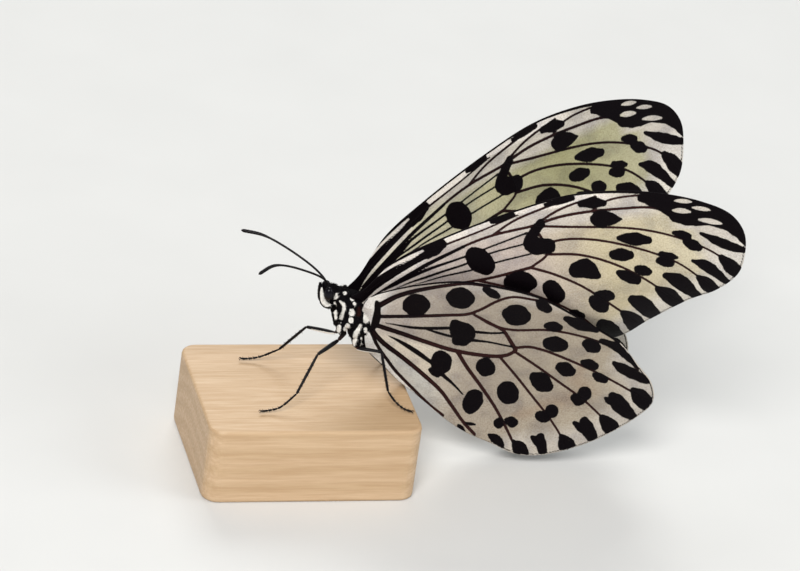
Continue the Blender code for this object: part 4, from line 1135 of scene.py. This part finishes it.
# %% [markdown]
# ## The body
# The body leans: the head is high and the tail is low between the wings. The chest is one strong box of
# muscle, and the abdomen is a row of nine rings, each a little wider at its rear edge. Each is drawn out
# of a ring by extruding it back and resizing it, row after row. The head is a stretched ball.

# %% Body sizes, in millimetres
BODY_ORIGIN = (3.6, 0.0, 34.4)
BODY_PITCH = math.radians(46.2)
BACK_WAY = np.array((math.cos(BODY_PITCH), 0.0, -math.sin(BODY_PITCH)))
SIDE_WAY = np.array((0.0, 1.0, 0.0))
UP_WAY = np.array((math.sin(BODY_PITCH), 0.0, math.cos(BODY_PITCH)))
HEAD_CENTRE, HEAD_RADII = (3.25, 0.0, 35.25), (1.45, 1.4, 1.65)
# Each row: how far back, the top, the bottom and half the width.
THORAX_ROWS = (
    (-0.9, 1.7, 0.4, 0.5), (-0.3, 2.3, -0.2, 1.2), (1.0, 2.9, -0.6, 1.8), (2.5, 3.8, -1.1, 2.45),
    (4.4, 4.6, -1.9, 3.0), (6.6, 4.9, -2.2, 3.2), (8.6, 4.4, -2.2, 2.9), (10.3, 3.3, -2.3, 2.3),
    (11.4, 2.2, -2.2, 1.6), (11.9, 1.1, -1.0, 0.7),
)
ABDOMEN_START, ABDOMEN_LENGTH, ABDOMEN_RADIUS, ABDOMEN_WIDTH = 10.8, 27.2, 1.9, 0.88
RINGS, ROWS_A_RING, RING_GROOVE = 9, 4, 0.16


def abdomen_rows():
    """Four rows to a ring: the abdomen widens from a waist, tapers, and narrows more at its tip."""
    rows = []
    for count in range(RINGS * ROWS_A_RING + 1):
        place = count / (RINGS * ROWS_A_RING)
        waist = min(1.0, 0.55 + 3.0 * place)
        taper = 1.0 - 0.62 * max(0.0, place - 0.15) ** 1.25
        tip = min(1.0, 3.2 * (1.0 - place) + 0.45)
        groove = RING_GROOVE if count % ROWS_A_RING == 0 else 0.0
        radius = ABDOMEN_RADIUS * waist * taper * tip - groove
        middle = 0.55 - 0.2 * place
        back = ABDOMEN_START + ABDOMEN_LENGTH * place
        rows.append((back, middle + radius, middle - radius, radius * ABDOMEN_WIDTH))
    return rows


# %% Shapes of the body
def drawn_out(rows, sides):
    """A ring extruded through all its rows, closed at both ends, then leant like the body."""
    back, top, bottom, half = rows[0]
    bpy.ops.object.select_all(action="DESELECT")
    bpy.ops.mesh.primitive_circle_add(vertices=sides, radius=1.0, fill_type="NGON",
                                      rotation=(0.0, math.pi / 2, 0.0))
    piece = bpy.context.object
    bpy.ops.object.transform_apply()
    bpy.ops.object.mode_set(mode="EDIT")
    bpy.ops.mesh.select_all(action="SELECT")
    bpy.ops.transform.resize(value=(1.0, half, (top - bottom) / 2), center_override=(0.0, 0.0, 0.0))
    bpy.ops.transform.translate(value=(back, 0.0, (top + bottom) / 2))
    for before, row in zip(rows, rows[1:]):
        rise = (row[1] + row[2] - before[1] - before[2]) / 2
        bpy.ops.mesh.extrude_region_move(TRANSFORM_OT_translate={"value": (row[0] - before[0], 0.0, rise)})
        bpy.ops.transform.resize(value=(1.0, row[3] / before[3], (row[1] - row[2]) / (before[1] - before[2])),
                                 center_override=(row[0], 0.0, (row[1] + row[2]) / 2))
    bpy.ops.object.mode_set(mode="OBJECT")
    return leant(piece)


def leant(piece):
    """Turns a piece made level at the origin into the body's lean, and sets it on the body."""
    only(piece)
    piece.rotation_euler = (0.0, BODY_PITCH, 0.0)
    piece.location = BODY_ORIGIN
    bpy.ops.object.transform_apply()
    return piece


def ball(centre, radii, rings=24):
    """A ball stretched to three radii."""
    bpy.ops.object.select_all(action="DESELECT")
    bpy.ops.mesh.primitive_uv_sphere_add(segments=2 * rings, ring_count=rings, radius=1.0, location=centre)
    piece = bpy.context.object
    piece.scale = radii
    bpy.ops.object.transform_apply()
    return piece


# %% Along the leaning body
def body_places(points):
    """World places of points given as (back, side, up) along the leaning body."""
    points = np.asarray(points, float)
    return (np.array(BODY_ORIGIN) + points[..., :1] * BACK_WAY + points[..., 1:2] * SIDE_WAY
            + points[..., 2:3] * UP_WAY)


def body_line(points, side):
    """World places of a line given along the body, on one side of it."""
    return [tuple(body_places(mirrored(point, side))) for point in points]


def back_and_up(places):
    """How far back along the leaning body, and how far up from its middle line, each place lies."""
    rest = places - BODY_ORIGIN
    return rest @ BACK_WAY, rest @ UP_WAY


tail_tip = body_places((ABDOMEN_START + ABDOMEN_LENGTH, 0.0, 0.35))
print("abdomen rows:", len(abdomen_rows()), "- tail tip at", np.round(tail_tip, 1), "mm")

# %% [markdown]
# ## One skin
# Head, chest, abdomen, palps and the folded front legs are one soft skin on the animal, with no seams.
# The shapes are joined, and a voxel remesh wraps one even skin round them all, which is smoothed a
# little. On the chest, small swellings stand for the wing muscles, the shields over the forewings' roots
# and the hips of the four walking legs.

# %% Body skin
SKIN_VOXEL, SMOOTHING, SMOOTH_ROUNDS = 0.1, 0.5, 4
BODY_SIDES, SWELLING_RINGS = 32, 16
PALP_LINE = ((3.6, 0.75, 32.8), (2.75, 0.75, 32.75), (1.88, 0.75, 33.3), (1.4, 0.72, 34.55),
             (1.14, 0.68, 35.9), (0.98, 0.6, 37.0))
PALP_RADII = (0.4, 0.56, 0.66, 0.56, 0.42, 0.16)
FORE_LEG = ((4.4, 1.0, -1.5), (2.1, 1.15, -1.6), (3.6, 1.5, -2.3), (6.0, 1.4, -3.7))
FORE_THIGH_RADII, FORE_SHANK_RADII = (0.4, 0.42, 0.36), (0.34, 0.36, 0.3, 0.24)
HIPS = (((5.3, 1.2, -1.0), (5.75, 1.35, -2.5), (6.7, 1.3, -3.6)),
        ((8.4, 1.3, -0.9), (9.6, 1.9, -2.2), (10.4, 2.3, -2.9)))
HIP_RADII = (1.0, 1.0, 0.55)
THROAT, THROAT_RADII = (3.65, 0.0, 33.4), (0.8, 0.8, 1.05)
# Swellings on the left side: (back, side, up) of the centre, then the three radii.
SWELLINGS = (
    ((3.6, -2.25, 2.5), (1.5, 0.7, 1.0)), ((5.2, -2.5, 0.2), (1.3, 0.9, 2.0)),
    ((7.7, -2.3, -0.6), (1.2, 0.8, 1.9)), ((11.3, -1.1, -1.6), (1.3, 0.8, 1.2)),
    ((0.9, -1.0, 2.3), (0.75, 0.9, 0.6)), ((3.1, -0.95, -1.2), (1.0, 0.6, 0.7)),
)


def body_skin():
    """All the soft parts of the body wrapped in one skin."""
    pieces = [drawn_out(THORAX_ROWS, BODY_SIDES), drawn_out(abdomen_rows(), BODY_SIDES),
              ball(HEAD_CENTRE, HEAD_RADII), ball(THROAT, THROAT_RADII)]
    for centre, radii in SWELLINGS:
        for side in (1, -1):
            pieces.append(leant(ball(mirrored(centre, side), radii, SWELLING_RINGS)))
    rods = []
    for side in (1, -1):
        rods.append(rod([mirrored(point, side) for point in PALP_LINE], PALP_RADII))
        hip, knee, shin, toe = body_line(FORE_LEG, side)
        rods.append(rod((hip, knee), FORE_THIGH_RADII))
        rods.append(rod((knee, shin, toe), FORE_SHANK_RADII))
        rods += [rod(body_line(hip_line, side), HIP_RADII) for hip_line in HIPS]
    pieces.append(tubes(rods, 3))
    only(*pieces)
    bpy.ops.object.join()
    skin = bpy.context.object
    apply_modifier(skin, "REMESH", mode="VOXEL", voxel_size=SKIN_VOXEL)
    apply_modifier(skin, "SMOOTH", factor=SMOOTHING, iterations=SMOOTH_ROUNDS)
    return skin


skin = body_skin()
print("one skin of", len(skin.data.vertices), "vertices")

# %% [markdown]
# ## White spots on black
# The chest is velvet black with crisp white spots, the palps are white with black edges, and the abdomen
# is pale below and on its sides, dark above. The same depth function as on the wings measures it all,
# now in space: each spot is a drop of given radius, mirrored to the other side.

# %% Spots of the body, in millimetres
BODY_SPOTS = {
    "collar": ((5.3, -1.25, 35.85, 0.34), (5.42, -1.33, 35.72, 0.34)),
    "behind_eye": ((3.81, -1.27, 35.5, 0.26), (3.79, -1.3, 34.95, 0.38), (3.72, -1.27, 34.45, 0.28)),
    "cheek": ((3.85, -0.95, 33.5, 0.26), (4.0, -1.0, 32.6, 0.3), (4.05, -1.3, 31.7, 0.28),
              (4.2, -1.7, 30.7, 0.24)),
    "wing_root_1": ((6.68, -1.82, 34.82, 0.33), (6.8, -1.86, 34.76, 0.33)),
    "wing_root_2": ((7.0, -2.6, 34.4, 0.26), (7.08, -2.66, 34.3, 0.32)),
    "flank_1": ((6.72, -2.68, 32.85, 0.42), (6.76, -2.74, 32.35, 0.55)),
    "flank_2": ((6.66, -3.2, 31.25, 0.46), (6.72, -3.2, 31.0, 0.44)),
    "flank_3": ((6.25, -3.05, 30.1, 0.38), (6.25, -2.6, 29.3, 0.5), (6.2, -2.3, 28.7, 0.45)),
    "hook": ((4.6, -1.63, 34.2, 0.24), (5.15, -1.93, 33.95, 0.3), (5.36, -2.1, 33.1, 0.32),
             (5.33, -2.0, 32.3, 0.32), (5.29, -1.65, 31.3, 0.35), (5.2, -1.5, 30.3, 0.38),
             (5.1, -1.6, 29.8, 0.3)),
    "front_foot": ((5.0, -1.9, 29.0, 0.4), (4.9, -1.9, 28.1, 0.45)),
    "rear_hip": ((8.64, -3.1, 30.1, 0.26), (8.4, -2.98, 29.1, 0.36), (7.95, -3.04, 28.2, 0.46),
                 (8.1, -2.65, 27.0, 0.42), (8.08, -2.4, 25.95, 0.36), (8.3, -2.4, 25.4, 0.22)),
    "rear_patch": ((9.31, -2.29, 26.8, 0.24), (9.4, -2.0, 26.0, 0.32), (9.48, -1.71, 25.3, 0.28)),
    "oval": ((9.69, -2.97, 29.2, 0.34), (9.85, -2.8, 28.45, 0.3)),
    "wing_band": ((9.9, -3.1, 34.0, 0.8), (9.8, -3.1, 32.3, 0.85), (9.6, -3.14, 31.1, 0.6)),
    "rear_flank": ((10.5, -2.6, 28.2, 0.4), (10.7, -2.4, 26.8, 0.6), (11.2, -2.2, 25.8, 0.5)),
    "palp": ((1.03, -0.88, 36.6, 0.16), (1.02, -1.04, 35.9, 0.27), (1.16, -1.18, 35.15, 0.36),
             (1.38, -1.29, 34.38, 0.43), (1.74, -1.36, 33.68, 0.5), (2.34, -1.24, 33.31, 0.5),
             (2.8, -1.0, 33.2, 0.34)),
    "brow": ((3.0, -1.2, 36.75, 0.14), (3.4, -1.0, 36.7, 0.16)),
}
BROWN_PATCH = ((8.0, -2.95, 33.5, 0.42), (8.04, -3.0, 32.3, 0.45))
# The abdomen is dark above a ridge line that falls backwards, near each groove and near the waist.
RIDGE_HEIGHT, RIDGE_FALL, RING_LENGTH, GROOVE_DARK, WAIST_DARK = 0.85, 0.03, 3.0, 0.25, 2.2
print("spots of the body:", len(BODY_SPOTS))


# %% Depth in the white and in the brown
def on_left(places):
    """The places, with those of the right side mirrored to the left."""
    return np.column_stack([places[:, 0], -np.abs(places[:, 1]), places[:, 2]])


def body_pale(places):
    """Depth in the white of the body, below zero where it is dark."""
    left = on_left(places)
    spots = np.max([chain_depth(left, chain) for chain in BODY_SPOTS.values()], axis=0)
    back, up = back_and_up(places)
    behind = back - ABDOMEN_START
    part = behind / ABDOMEN_LENGTH * RINGS % 1.0
    below_ridge = RIDGE_HEIGHT - RIDGE_FALL * behind - up
    off_groove = (0.5 - np.abs(part - 0.5)) * RING_LENGTH - GROOVE_DARK
    return np.maximum(spots, np.minimum(np.minimum(below_ridge, off_groove), behind - WAIST_DARK))


def body_brown(places):
    """Depth in the reddish brown patch of the chest."""
    return chain_depth(on_left(places), BROWN_PATCH)


places = coordinates(skin)
white = body_pale(places)
store(skin, "pale", white)
store(skin, "brown", body_brown(places))
print("white vertices:", int((white > 0.0).sum()), "of", len(white))

# %% A black finish with white and brown
COAT_BLACKS = (0.0005, 0.0004, 0.0008, 1), (0.005, 0.0035, 0.005, 1)
COAT_BROWNS = (0.008, 0.002, 0.002, 1), (0.04, 0.011, 0.008, 1)
COAT_WHITES = (0.7, 0.67, 0.62, 1), (0.84, 0.82, 0.78, 1)
WHITE_GRAIN = 900.0


def marked_finish(name, roughness, fine_scale, depth, **values):
    """Black with white where the piece is pale, and reddish brown where it is brown."""
    finish, tree, shader = new_finish(name, roughness, **values)
    places = object_places(tree)
    fine = noise(tree, places, fine_scale, 2.0)
    black, brown = mixed(tree, fine, *COAT_BLACKS), mixed(tree, fine, *COAT_BROWNS)
    white = mixed(tree, noise(tree, places, WHITE_GRAIN), *COAT_WHITES)
    black = mixed(tree, fade(tree, number(tree, "brown"), -0.2, 0.4), black, brown)
    ragged = sums(tree, "ADD", number(tree, "pale"), fade(tree, fine, 0.2, 0.8, -0.05, 0.05))
    mask = fade(tree, ragged, -0.04, 0.04)
    tree.links.new(mixed(tree, mask, black, white), shader.inputs["Base Color"])
    tree.links.new(fade(tree, fine, 0.2, 0.8, roughness - 0.08, roughness + 0.08), shader.inputs["Roughness"])
    relief(tree, shader, fine, depth)
    return finish


skin_finish = marked_finish("body_skin", 0.65, 9000.0, 0.00004, Specular_IOR_Level=0.05)
hair_finish = marked_finish("body_hair", 0.55, 9000.0, 0.00001, Specular_IOR_Level=0.08)
print("finishes:", skin_finish.name, "and", hair_finish.name)

# %% [markdown]
# ## The coat
# Short black hairs and narrow scales lie over the whole body, longer on the chest and bristling on the
# head. A hair is a thin three-sided spike, drawn once in numbers and set over 13 thousand times: at a random
# place of the skin, leaning backwards along the body, with the skin's own marking at its root.

# %% Hairs of the coat
TUFTS, TUFT_SEED, TUFT_PATCH = 13500, 20, 0.003
# Hairs of each region: their length in millimetres, and how far they stand off the skin.
CHEST_HAIR, HEAD_HAIR, TAIL_HAIR = (0.48, 0.4), (0.62, 0.75), (0.4, 0.18)
HEAD_ENDS, TAIL_STARTS = 0.4, 12.0
FACE_BEFORE, FACE_SHARE = 2.2, 0.6
LENGTH_SPREAD, LIFT_SPREAD, HAIR_WIDTHS = (0.6, 1.3), (0.5, 1.4), (0.05, 0.09)
HEAD_LEAN, STRAY, ROOT_SUNK, DROOP = 0.2, 0.25, 0.05, 0.35
COAT_MAP = {"start": 4.0, "length": 44.0, "height": 0.96, "margin": 0.02}
# One spike: how far across, how far along, and how high each of its seven corners lies.
SPIKE = np.array(((-0.5, 0.0, 0.0), (0.5, 0.0, 0.0), (0.0, 0.0, 0.5), (-0.42, 0.55, 0.0), (0.42, 0.55, 0.0),
                  (0.0, 0.55, 0.45), (0.0, 1.0, 0.0)))
SPIKE_MAP = np.array(((-0.5, 0.0), (0.5, 0.0), (0.0, 0.15), (-0.42, 0.6), (0.42, 0.6), (0.0, 0.75),
                      (0.0, 1.0)))
SPIKE_FACES = np.array(((0, 1, 2), (0, 3, 1), (1, 3, 4), (1, 4, 2), (2, 4, 5), (2, 5, 0), (0, 5, 3),
                        (3, 6, 4), (4, 6, 5), (5, 6, 3)))
print("hairs:", TUFTS)


# %% Random places on the skin
def unit(rows):
    """The rows, each made one long."""
    return rows / np.maximum(np.linalg.norm(rows, axis=1, keepdims=True), 1e-9)


def scatter(piece, count, draw):
    """Random places on the skin, with the way each faces."""
    a, b, c = triangle_corners(piece)
    normals = np.cross(b - a, c - a)
    areas = np.linalg.norm(normals, axis=1)
    chosen = draw.choice(len(areas), count, p=areas / areas.sum())
    first, second = draw.random((2, count, 1))
    over = first + second > 1.0
    first, second = np.where(over, 1.0 - first, first), np.where(over, 1.0 - second, second)
    return a[chosen] + first * (b - a)[chosen] + second * (c - a)[chosen], unit(normals)[chosen]


print("one long:", unit(np.array([[3.0, 0.0, 4.0]]))[0])


# %% Leaning hairs, and the coat as one mesh
def spikes(roots, faces_out, draw):
    """The seven corners of each hair, leaning over the skin along the body."""
    back, _ = back_and_up(roots)
    head, tail = (back < HEAD_ENDS)[:, None], (back > TAIL_STARTS)[:, None]
    long, stand = np.where(head, HEAD_HAIR, np.where(tail, TAIL_HAIR, CHEST_HAIR)).T
    length = long * draw.uniform(*LENGTH_SPREAD, TUFTS)
    length = np.where((roots[:, 0] < FACE_BEFORE) & head[:, 0], length * FACE_SHARE, length)
    lift = stand * draw.uniform(*LIFT_SPREAD, TUFTS)
    way = np.where(head, UP_WAY + BACK_WAY * HEAD_LEAN, BACK_WAY) + draw.normal(0.0, STRAY, (TUFTS, 3))
    way = unit(way - (way * faces_out).sum(1)[:, None] * faces_out)
    way = unit(way + faces_out * lift[:, None])
    side = unit(np.cross(way, faces_out))
    over = np.cross(side, way)
    width = draw.uniform(*HAIR_WIDTHS, TUFTS)
    corners = (roots - faces_out * ROOT_SUNK)[:, None] + SPIKE[:, :1] * (side * width[:, None])[:, None]
    corners = corners + SPIKE[:, 1:2] * (way * length[:, None])[:, None]
    corners = corners + SPIKE[:, 2:] * (over * width[:, None])[:, None]
    return corners - (SPIKE[:, 1:2] ** 2) * (faces_out * (length * lift * DROOP)[:, None])[:, None]


def make_coat(piece):
    """One mesh of all the hairs, with a small patch of the flat map for each."""
    draw = np.random.default_rng(TUFT_SEED)
    roots, faces_out = scatter(piece, TUFTS, draw)
    corners = spikes(roots, faces_out, draw)
    faces = (SPIKE_FACES + np.arange(TUFTS)[:, None, None] * len(SPIKE)).reshape(-1, 3)
    mesh = bpy.data.meshes.new("coat")
    mesh.from_pydata(corners.reshape(-1, 3), [], faces.tolist())
    coat = bpy.data.objects.new("coat", mesh)
    bpy.context.scene.collection.objects.link(coat)
    back, up = back_and_up(roots)
    along = (back + COAT_MAP["start"]) / COAT_MAP["length"]
    around = (np.arctan2(roots[:, 1], up) / math.tau + 0.5) * COAT_MAP["height"] + COAT_MAP["margin"]
    patches = np.column_stack([along, around])[:, None] + SPIKE_MAP * TUFT_PATCH
    layer = mesh.uv_layers.new(name="OFBake")
    layer.data.foreach_set("uv", patches.reshape(-1, 2)[faces.ravel()].ravel())
    store(coat, "pale", np.repeat(body_pale(roots), len(SPIKE)))
    store(coat, "brown", np.repeat(body_brown(roots), len(SPIKE)))
    return coat


coat = make_coat(skin)
hand_over(skin, "body_skin", skin_finish, "body_hair",
          "head", "thorax", "abdomen", "palp_left", "palp_right", "foreleg_left", "foreleg_right")
hand_over(coat, "body_coat", hair_finish, "body_hair")

# %% [markdown]
# ## Eyes
# Each eye is a smooth dark dome of thousands of facets, set close to the brow. A stretched ball has its
# shape, and the facets are cells of a fine pattern that only bend the light a little.

# %% Eyes
EYE_CENTRE, EYE_RADII = (2.38, -1.3, 35.63), (0.92, 0.85, 1.32)
EYE_BLACKS = (0.006, 0.004, 0.007, 1), (0.001, 0.001, 0.002, 1)
FACETS = 9000.0


def eye_finish():
    """Black with a soft gloss, and facets that bend the light a little."""
    finish, tree, shader = new_finish("eye", 0.25, Specular_IOR_Level=0.16)
    cells = add_node(tree, "ShaderNodeTexVoronoi", {"Vector": object_places(tree), "Scale": FACETS})
    tree.links.new(mixed(tree, cells.outputs["Distance"], *EYE_BLACKS), shader.inputs["Base Color"])
    relief(tree, shader, cells.outputs["Distance"], 0.000004)
    return finish


eye_horn = eye_finish()
for word, side in (("left", 1), ("right", -1)):
    eye = ball(mirrored(EYE_CENTRE, side), EYE_RADII, 32)
    hand_over(eye, f"eye_{word}_dome", eye_horn, "eye", f"eye_{word}")

# %% [markdown]
# ## Horn: legs, feelers and drinking tube
# Legs are jointed horn: hip ring, thigh, shank and a foot of five short rings with two claws. Feelers are
# long chains of fine rings that end in a slim club. The drinking tube lies coiled under the head.
# All are rods, and short spines stand on the shanks and feet.

# %% Horn sizes, in millimetres
SOLE = 15.3
MID_LEG = ((6.6, 1.2, 27.6), (5.4, 1.3, 25.8), (0.8, 5.0, 25.0), (-3.0, 8.0, 18.4), (-6.1, 9.1, 16.2))
MID_CLAW = (-9.5, 9.4)
HIND_LEG = ((9.0, 1.2, 27.0), (8.7, 2.4, 24.7), (12.9, 4.6, 25.2), (14.5, 7.0, 18.2), (15.9, 8.1, 16.6))
HIND_CLAW = (18.6, 9.8)
LEFT_ANTENNA = ((2.4, -0.45, 36.2), (1.75, -0.7, 37.9), (-2.5, -2.8, 41.1), (-9.8, -6.2, 44.3),
                (-13.0, -7.8, 43.4))
RIGHT_ANTENNA = ((2.4, 0.45, 36.2), (1.75, 0.7, 37.6), (-0.9, 2.2, 39.8), (-8.8, 6.5, 43.3),
                 (-13.1, 8.0, 43.7))
# Radii along each part of a walking leg, and how its foot is shared out between the rings.
HIP_RING, THIGH, SHANK = (0.46, 0.42, 0.32), (0.3, 0.42, 0.42, 0.37, 0.3), (0.23, 0.27, 0.28, 0.26, 0.24)
FOOT_RING, FOOT_SHARES = (0.17, 0.19, 0.2, 0.23), (0.42, 0.18, 0.14, 0.1, 0.16)
HEEL_PART, HEEL_HEIGHT, TIP_HEIGHT = 0.55, 0.42, 0.3
SPINE, SPINE_TURN, SPINE_ROOT, SPINE_LEAST = (0.06, 0.045, 0.012), 2.4, 0.1, 0.14
SPINES_FROM, SPINES_OVER, SHANK_SPINES, FOOT_SPINES = 0.12, 0.84, (26, 0.3), ((10, 0.16), (4, 0.16))
# The white stripe along the thigh: each (part of the way, radius), and how far outwards and down it lies.
STRIPE, MID_STRIPE, HIND_STRIPE = ((0.0, 0.26), (0.5, 0.27), (0.86, 0.16)), (-0.36, 0.16), (0.26, 0.28)
HIP_BROWN, TROCH_BROWN = 0.3, 0.55
# Each claw's three places, from the one before: ahead, aside and up.
CLAW, CLAW_STEPS = (0.1, 0.09, 0.03), ((-0.1, 0.06, 0.0), (0.4, 0.22, 0.1), (0.22, 0.04, -0.26))
print("legs stand on", SOLE, "mm; a hind foot ends at", HIND_CLAW)


# %% Spines and claws
def spines(start, end, count, length):
    """Short thorns in a spiral round a straight piece of leg, leaning towards its end."""
    start, end = np.array(start), np.array(end)
    ahead = (end - start) / np.linalg.norm(end - start)
    beside = np.cross(ahead, (0.0, 0.0, 1.0))
    beside /= np.linalg.norm(beside)
    over = np.cross(beside, ahead)
    made = []
    for i in range(count):
        away = beside * math.cos(SPINE_TURN * i) + over * math.sin(SPINE_TURN * i)
        root = start + (end - start) * (SPINES_FROM + SPINES_OVER * i / count) + away * SPINE_ROOT
        tip = root + away * (SPINE_LEAST + length) + ahead * length
        made.append(np.column_stack([np.array([root, (root + tip) / 2, tip]), SPINE]))
    return made


def claws(heel, tip):
    """Two small claws, hooked down at their ends."""
    ahead = (tip - heel) / np.linalg.norm(tip - heel)
    beside = np.cross(ahead, (0.0, 0.0, 1.0))
    made = []
    for way in (-1, 1):
        steps = [ahead * along + beside * way * aside + (0.0, 0.0, rise) for along, aside, rise in CLAW_STEPS]
        made.append(rod(tip + np.cumsum(steps, axis=0), CLAW, 0.08))
    return made


print("spines on a shank:", len(spines((0, 0, 0), (1, 0, 0), *SHANK_SPINES)))


# %% Walking legs
def leg(points, claw, side, stripe_out, stripe_down):
    """A walking leg with its spines and claws, and the white stripe on its thigh."""
    hip, troch, knee, ankle, foot = [np.array(mirrored(point, side), float) for point in points]
    tip = np.array((claw[0], claw[1] * side, SOLE + TIP_HEIGHT))
    heel = foot + (tip - foot) * HEEL_PART
    heel[2] = SOLE + HEEL_HEIGHT
    made = [rod((hip, troch), HIP_RING), rod((troch, knee), THIGH), rod((knee, ankle), SHANK)]
    made += spines(knee, ankle, *SHANK_SPINES)
    line = smooth_line((ankle, foot, heel, tip), 0.1)
    cuts = np.cumsum((0.0, *FOOT_SHARES)) * (len(line) - 1)
    for i, (first, last) in enumerate(zip(cuts, cuts[1:])):
        ring = line[int(first):int(last) + 1]
        made.append(rod(ring, FOOT_RING, 0.3))
        made += spines(ring[0], ring[-1], *FOOT_SPINES[min(i, 1)])
    made = tubes(made + claws(heel, tip))
    low = np.array((0.0, stripe_out * side, -stripe_down))
    stripe = [(*(troch + (knee - troch) * part + low), radius) for part, radius in STRIPE]
    store(made, "pale", chain_depth(coordinates(made), stripe))
    store(made, "brown", chain_depth(coordinates(made), ((*hip, HIP_BROWN), (*troch, TROCH_BROWN))))
    return made


horn = marked_finish("horn", 0.42, 7000.0, 0.00003, Specular_IOR_Level=0.16)
for word, side in (("left", -1), ("right", 1)):
    mid_leg = leg(MID_LEG, MID_CLAW, side, *MID_STRIPE)
    hand_over(mid_leg, f"midleg_{word}_horn", horn, "horn", f"midleg_{word}")
    hind_leg = leg(HIND_LEG, HIND_CLAW, side, *HIND_STRIPE)
    hand_over(hind_leg, f"hindleg_{word}_horn", horn, "horn", f"hindleg_{word}")

# %% Feelers and drinking tube
FEELER_STEP, FEELER_RADIUS, RING_NARROW = 0.28, 0.21, 0.07
CLUB_STARTS, CLUB_SWELL, CLUB_FULL, TIP_SHARPNESS = 0.72, 0.13, 1.5, 40.0
FEELER_BASE, BASE_SHARE = (0.3, 0.32, 0.26), 0.42
COIL_CENTRE, COIL_TURNS, COIL_START = np.array((2.6, 0.0, 33.2)), 1.25, math.radians(-20.0)
COIL_REACH, COIL_RADII, COIL_RINGS, COIL_NARROW = (0.2, 0.62), (0.14, 0.24), 60, 0.08
MOUTH_STEP = (0.25, 0.0, 0.7)


def plain_horn(lines, roundness):
    """Rods with neither white nor brown on them."""
    made = tubes(lines, roundness)
    for word in ("pale", "brown"):
        store(made, word, np.full(len(made.data.vertices), -1.0))
    return made


def antenna(points):
    """A chain of fine rings that swells to a club, on a thick base."""
    line = smooth_line(points, FEELER_STEP)
    part = np.linspace(0.0, 1.0, len(line))
    club = ramp(part, CLUB_STARTS, 1.0)
    ringed = 1.0 - RING_NARROW * (np.arange(len(line)) % 2)
    end = np.sqrt(np.clip((1.0 - part) * TIP_SHARPNESS, 0.02, 1.0))
    swell = CLUB_SWELL * np.sin(np.minimum(1.0, club * CLUB_FULL) * math.pi / 2)
    radius = (FEELER_RADIUS + swell) * ringed * end
    base = rod(points[:2], FEELER_BASE)
    base[:, :3] = base[0, :3] + (base[:, :3] - base[0, :3]) * BASE_SHARE
    return plain_horn([np.column_stack([line, radius]), base], 3)


def proboscis():
    """A coil of fine rings that grows wider outwards and ends in a straight piece up to the mouth."""
    turns = np.linspace(0.0, COIL_TURNS, COIL_RINGS)
    angle = math.tau * turns + COIL_START
    reach = COIL_REACH[0] + COIL_REACH[1] * turns
    line = COIL_CENTRE + np.column_stack([-np.cos(angle) * reach, angle * 0.0, -np.sin(angle) * reach])
    line = np.vstack([line, line[-1] + MOUTH_STEP])
    width = np.linspace(*COIL_RADII, len(line)) * (1.0 - COIL_NARROW * (np.arange(len(line)) % 2))
    return plain_horn([np.column_stack([line, width])], 3)


hand_over(antenna(LEFT_ANTENNA), "antenna_left_horn", horn, "horn", "antenna_left")
hand_over(antenna(RIGHT_ANTENNA), "antenna_right_horn", horn, "horn", "antenna_right")
hand_over(proboscis(), "proboscis_horn", horn, "horn", "proboscis")
